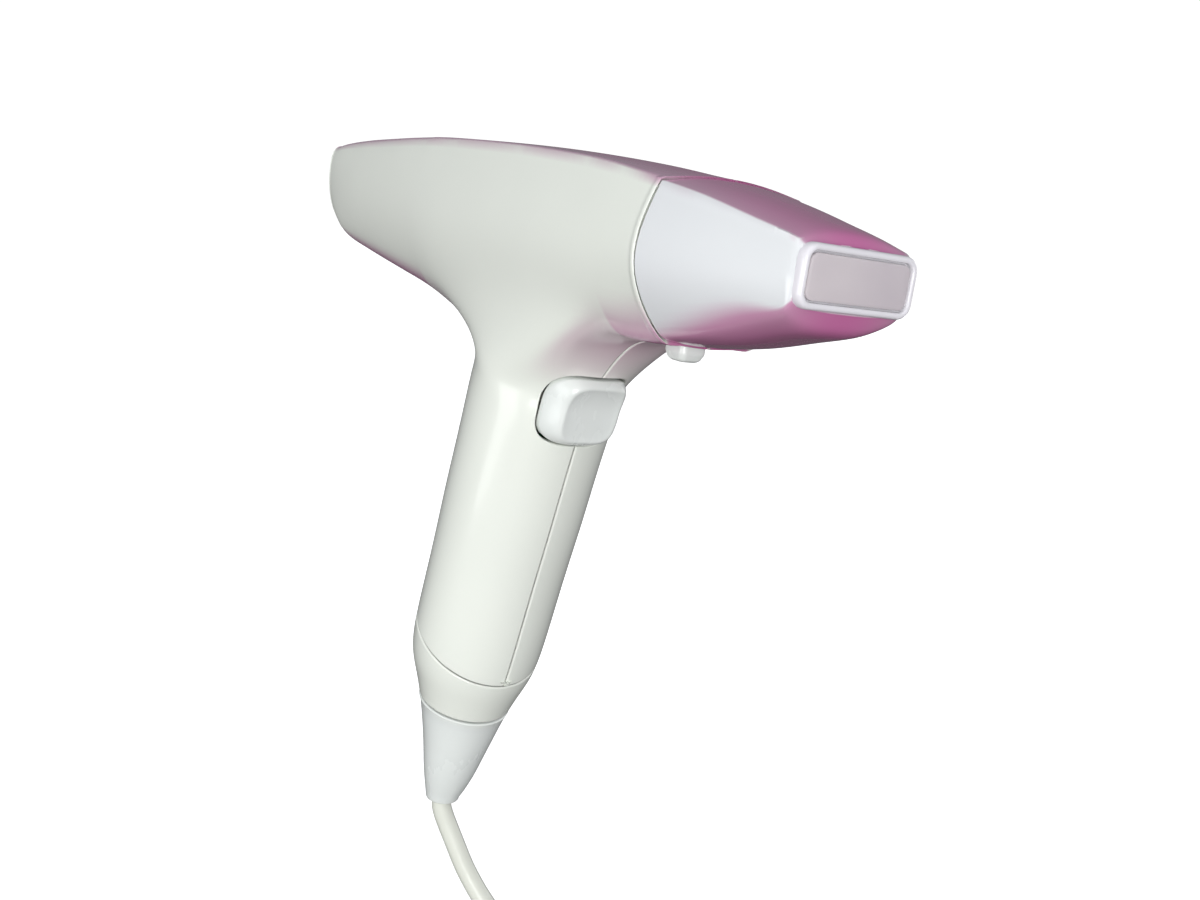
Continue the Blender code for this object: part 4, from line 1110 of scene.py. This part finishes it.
INNER_FINISHES = {
    "dark_plastic": ("fan_frame", "fan_rotor", "microswitch_body", "trigger_transformer"),
    "capacitor_sleeve": ("capacitor",),
    "inner_plastic": ("cartridge_socket", "switch_bracket", "cartridge_base"),
    "circuit_board": ("control_board",),
    "contact_brass": ("switch_plunger", "contact_pin_1", "contact_pin_2", "contact_pin_3"),
    "steel": ("trigger_spring", "release_spring", "lamp_electrode_right", "lamp_electrode_left",
              "housing_screw_1", "housing_screw_2", "housing_screw_3", "housing_screw_4", "housing_screw_5"),
    "filter_glass": ("filter_glass",),
    "reflector_aluminium": ("reflector",),
    "lamp_quartz": ("flash_lamp",),
    "ceramic": ("lamp_holder_right", "lamp_holder_left"),
}


def dress_inner_parts():
    for finish, names in INNER_FINISHES.items():
        for name in names:
            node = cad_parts[name]
            node.data.materials.clear()
            node.data.materials.append(FINISHES[finish].material)


# ---- studio ----
LAMP_SIZE = 0.5
LIT_MIDDLE = (0.0, 0.0, 0.03)
FLOOR_RADIUS = 8.0
ROOM_GLOW = 0.6               # how bright the room is on the handset, and in its reflections
ROOM_GLOW_IN_GLOSS = 0.2
BACKDROP_GLOW = 1.05          # and behind it


def lamp(name, towards, distance, power):
    """A square soft light that faces the handset from a direction."""
    data = bpy.data.lights.new(name, "AREA")
    data.shape = "SQUARE"
    data.size = LAMP_SIZE
    data.energy = power
    made = bpy.data.objects.new(name, data)
    bpy.context.scene.collection.objects.link(made)
    direction = Vector(towards).normalized()
    made.location = Vector(LIT_MIDDLE) + direction * distance
    made.rotation_mode = "QUATERNION"
    made.rotation_quaternion = direction.to_track_quat("Z", "Y")
    return made


def make_studio():
    low = CAD_BOX[0].z - FLOOR_DROP
    work = bmesh.new()
    bmesh.ops.create_circle(work, cap_ends=True, segments=96, radius=FLOOR_RADIUS)
    mesh = bpy.data.meshes.new("floor")
    work.to_mesh(mesh)
    work.free()
    floor = link("floor", mesh)
    floor.location.z = low
    pale = Finish("floor_pale", (0.90, 0.90, 0.90), 0.8, Emission_Color=(1, 1, 1, 1), Emission_Strength=0.8)
    pale.tint(pale.spread(pale.noise(4.0), 0.4, 0.8, 0.0, 0.3), (0.88, 0.88, 0.88))
    mesh.materials.append(pale.material)
    floor.visible_diffuse = False
    floor.visible_glossy = False
    world = bpy.data.worlds.new("studio")
    world.use_nodes = True
    tree = world.node_tree
    dim = tree.nodes["Background"]
    direction = tree.nodes.new("ShaderNodeTexCoord")
    parts = tree.nodes.new("ShaderNodeSeparateXYZ")
    height = tree.nodes.new("ShaderNodeValToRGB")
    height.color_ramp.elements[0].position = 0.25
    height.color_ramp.elements[0].color = (0.22, 0.20, 0.22, 1.0)
    height.color_ramp.elements[1].position = 0.62
    height.color_ramp.elements[1].color = (0.95, 0.96, 1.0, 1.0)
    lift = tree.nodes.new("ShaderNodeMapRange")
    lift.inputs["From Min"].default_value = -1.0
    tree.links.new(direction.outputs["Generated"], parts.inputs["Vector"])
    tree.links.new(parts.outputs["Z"], lift.inputs["Value"])
    tree.links.new(lift.outputs["Result"], height.inputs["Fac"])
    tree.links.new(height.outputs["Color"], dim.inputs["Color"])
    bright = tree.nodes.new("ShaderNodeBackground")
    bright.inputs["Color"].default_value = (1.0, 1.0, 1.0, 1.0)
    bright.inputs["Strength"].default_value = BACKDROP_GLOW
    path = tree.nodes.new("ShaderNodeLightPath")
    calm = tree.nodes.new("ShaderNodeMapRange")
    calm.inputs["To Min"].default_value = ROOM_GLOW
    calm.inputs["To Max"].default_value = ROOM_GLOW_IN_GLOSS
    tree.links.new(path.outputs["Is Glossy Ray"], calm.inputs["Value"])
    tree.links.new(calm.outputs["Result"], dim.inputs["Strength"])
    pick = tree.nodes.new("ShaderNodeMixShader")
    tree.links.new(path.outputs["Is Camera Ray"], pick.inputs["Fac"])
    tree.links.new(dim.outputs["Background"], pick.inputs[1])
    tree.links.new(bright.outputs["Background"], pick.inputs[2])
    tree.links.new(pick.outputs["Shader"], tree.nodes["World Output"].inputs["Surface"])
    bpy.context.scene.world = world
    bpy.context.scene.view_settings.view_transform = "Standard"
    lamp("front", (0.80, -0.60, -0.05), 0.90, 6.0)
    lamp("side", (0.05, -0.85, -0.15), 0.90, 1.8)
    lamp("top", (-0.1, -0.1, 1.0), 0.80, 0.1)
    lamp("back", (0.05, 0.95, 0.15), 0.90, 1.2)


make_camera()
FINISHES.update(make_finishes())
power_cord, cord_length = make_cord()
tie_strap = make_tie()
plug_body, plug_barrel = make_plug()
housing_surface = make_housing()
make_boot()
make_grille()
make_trigger(housing_surface)
make_release()
make_nose()
make_window()
dress_inner_parts()
make_studio()
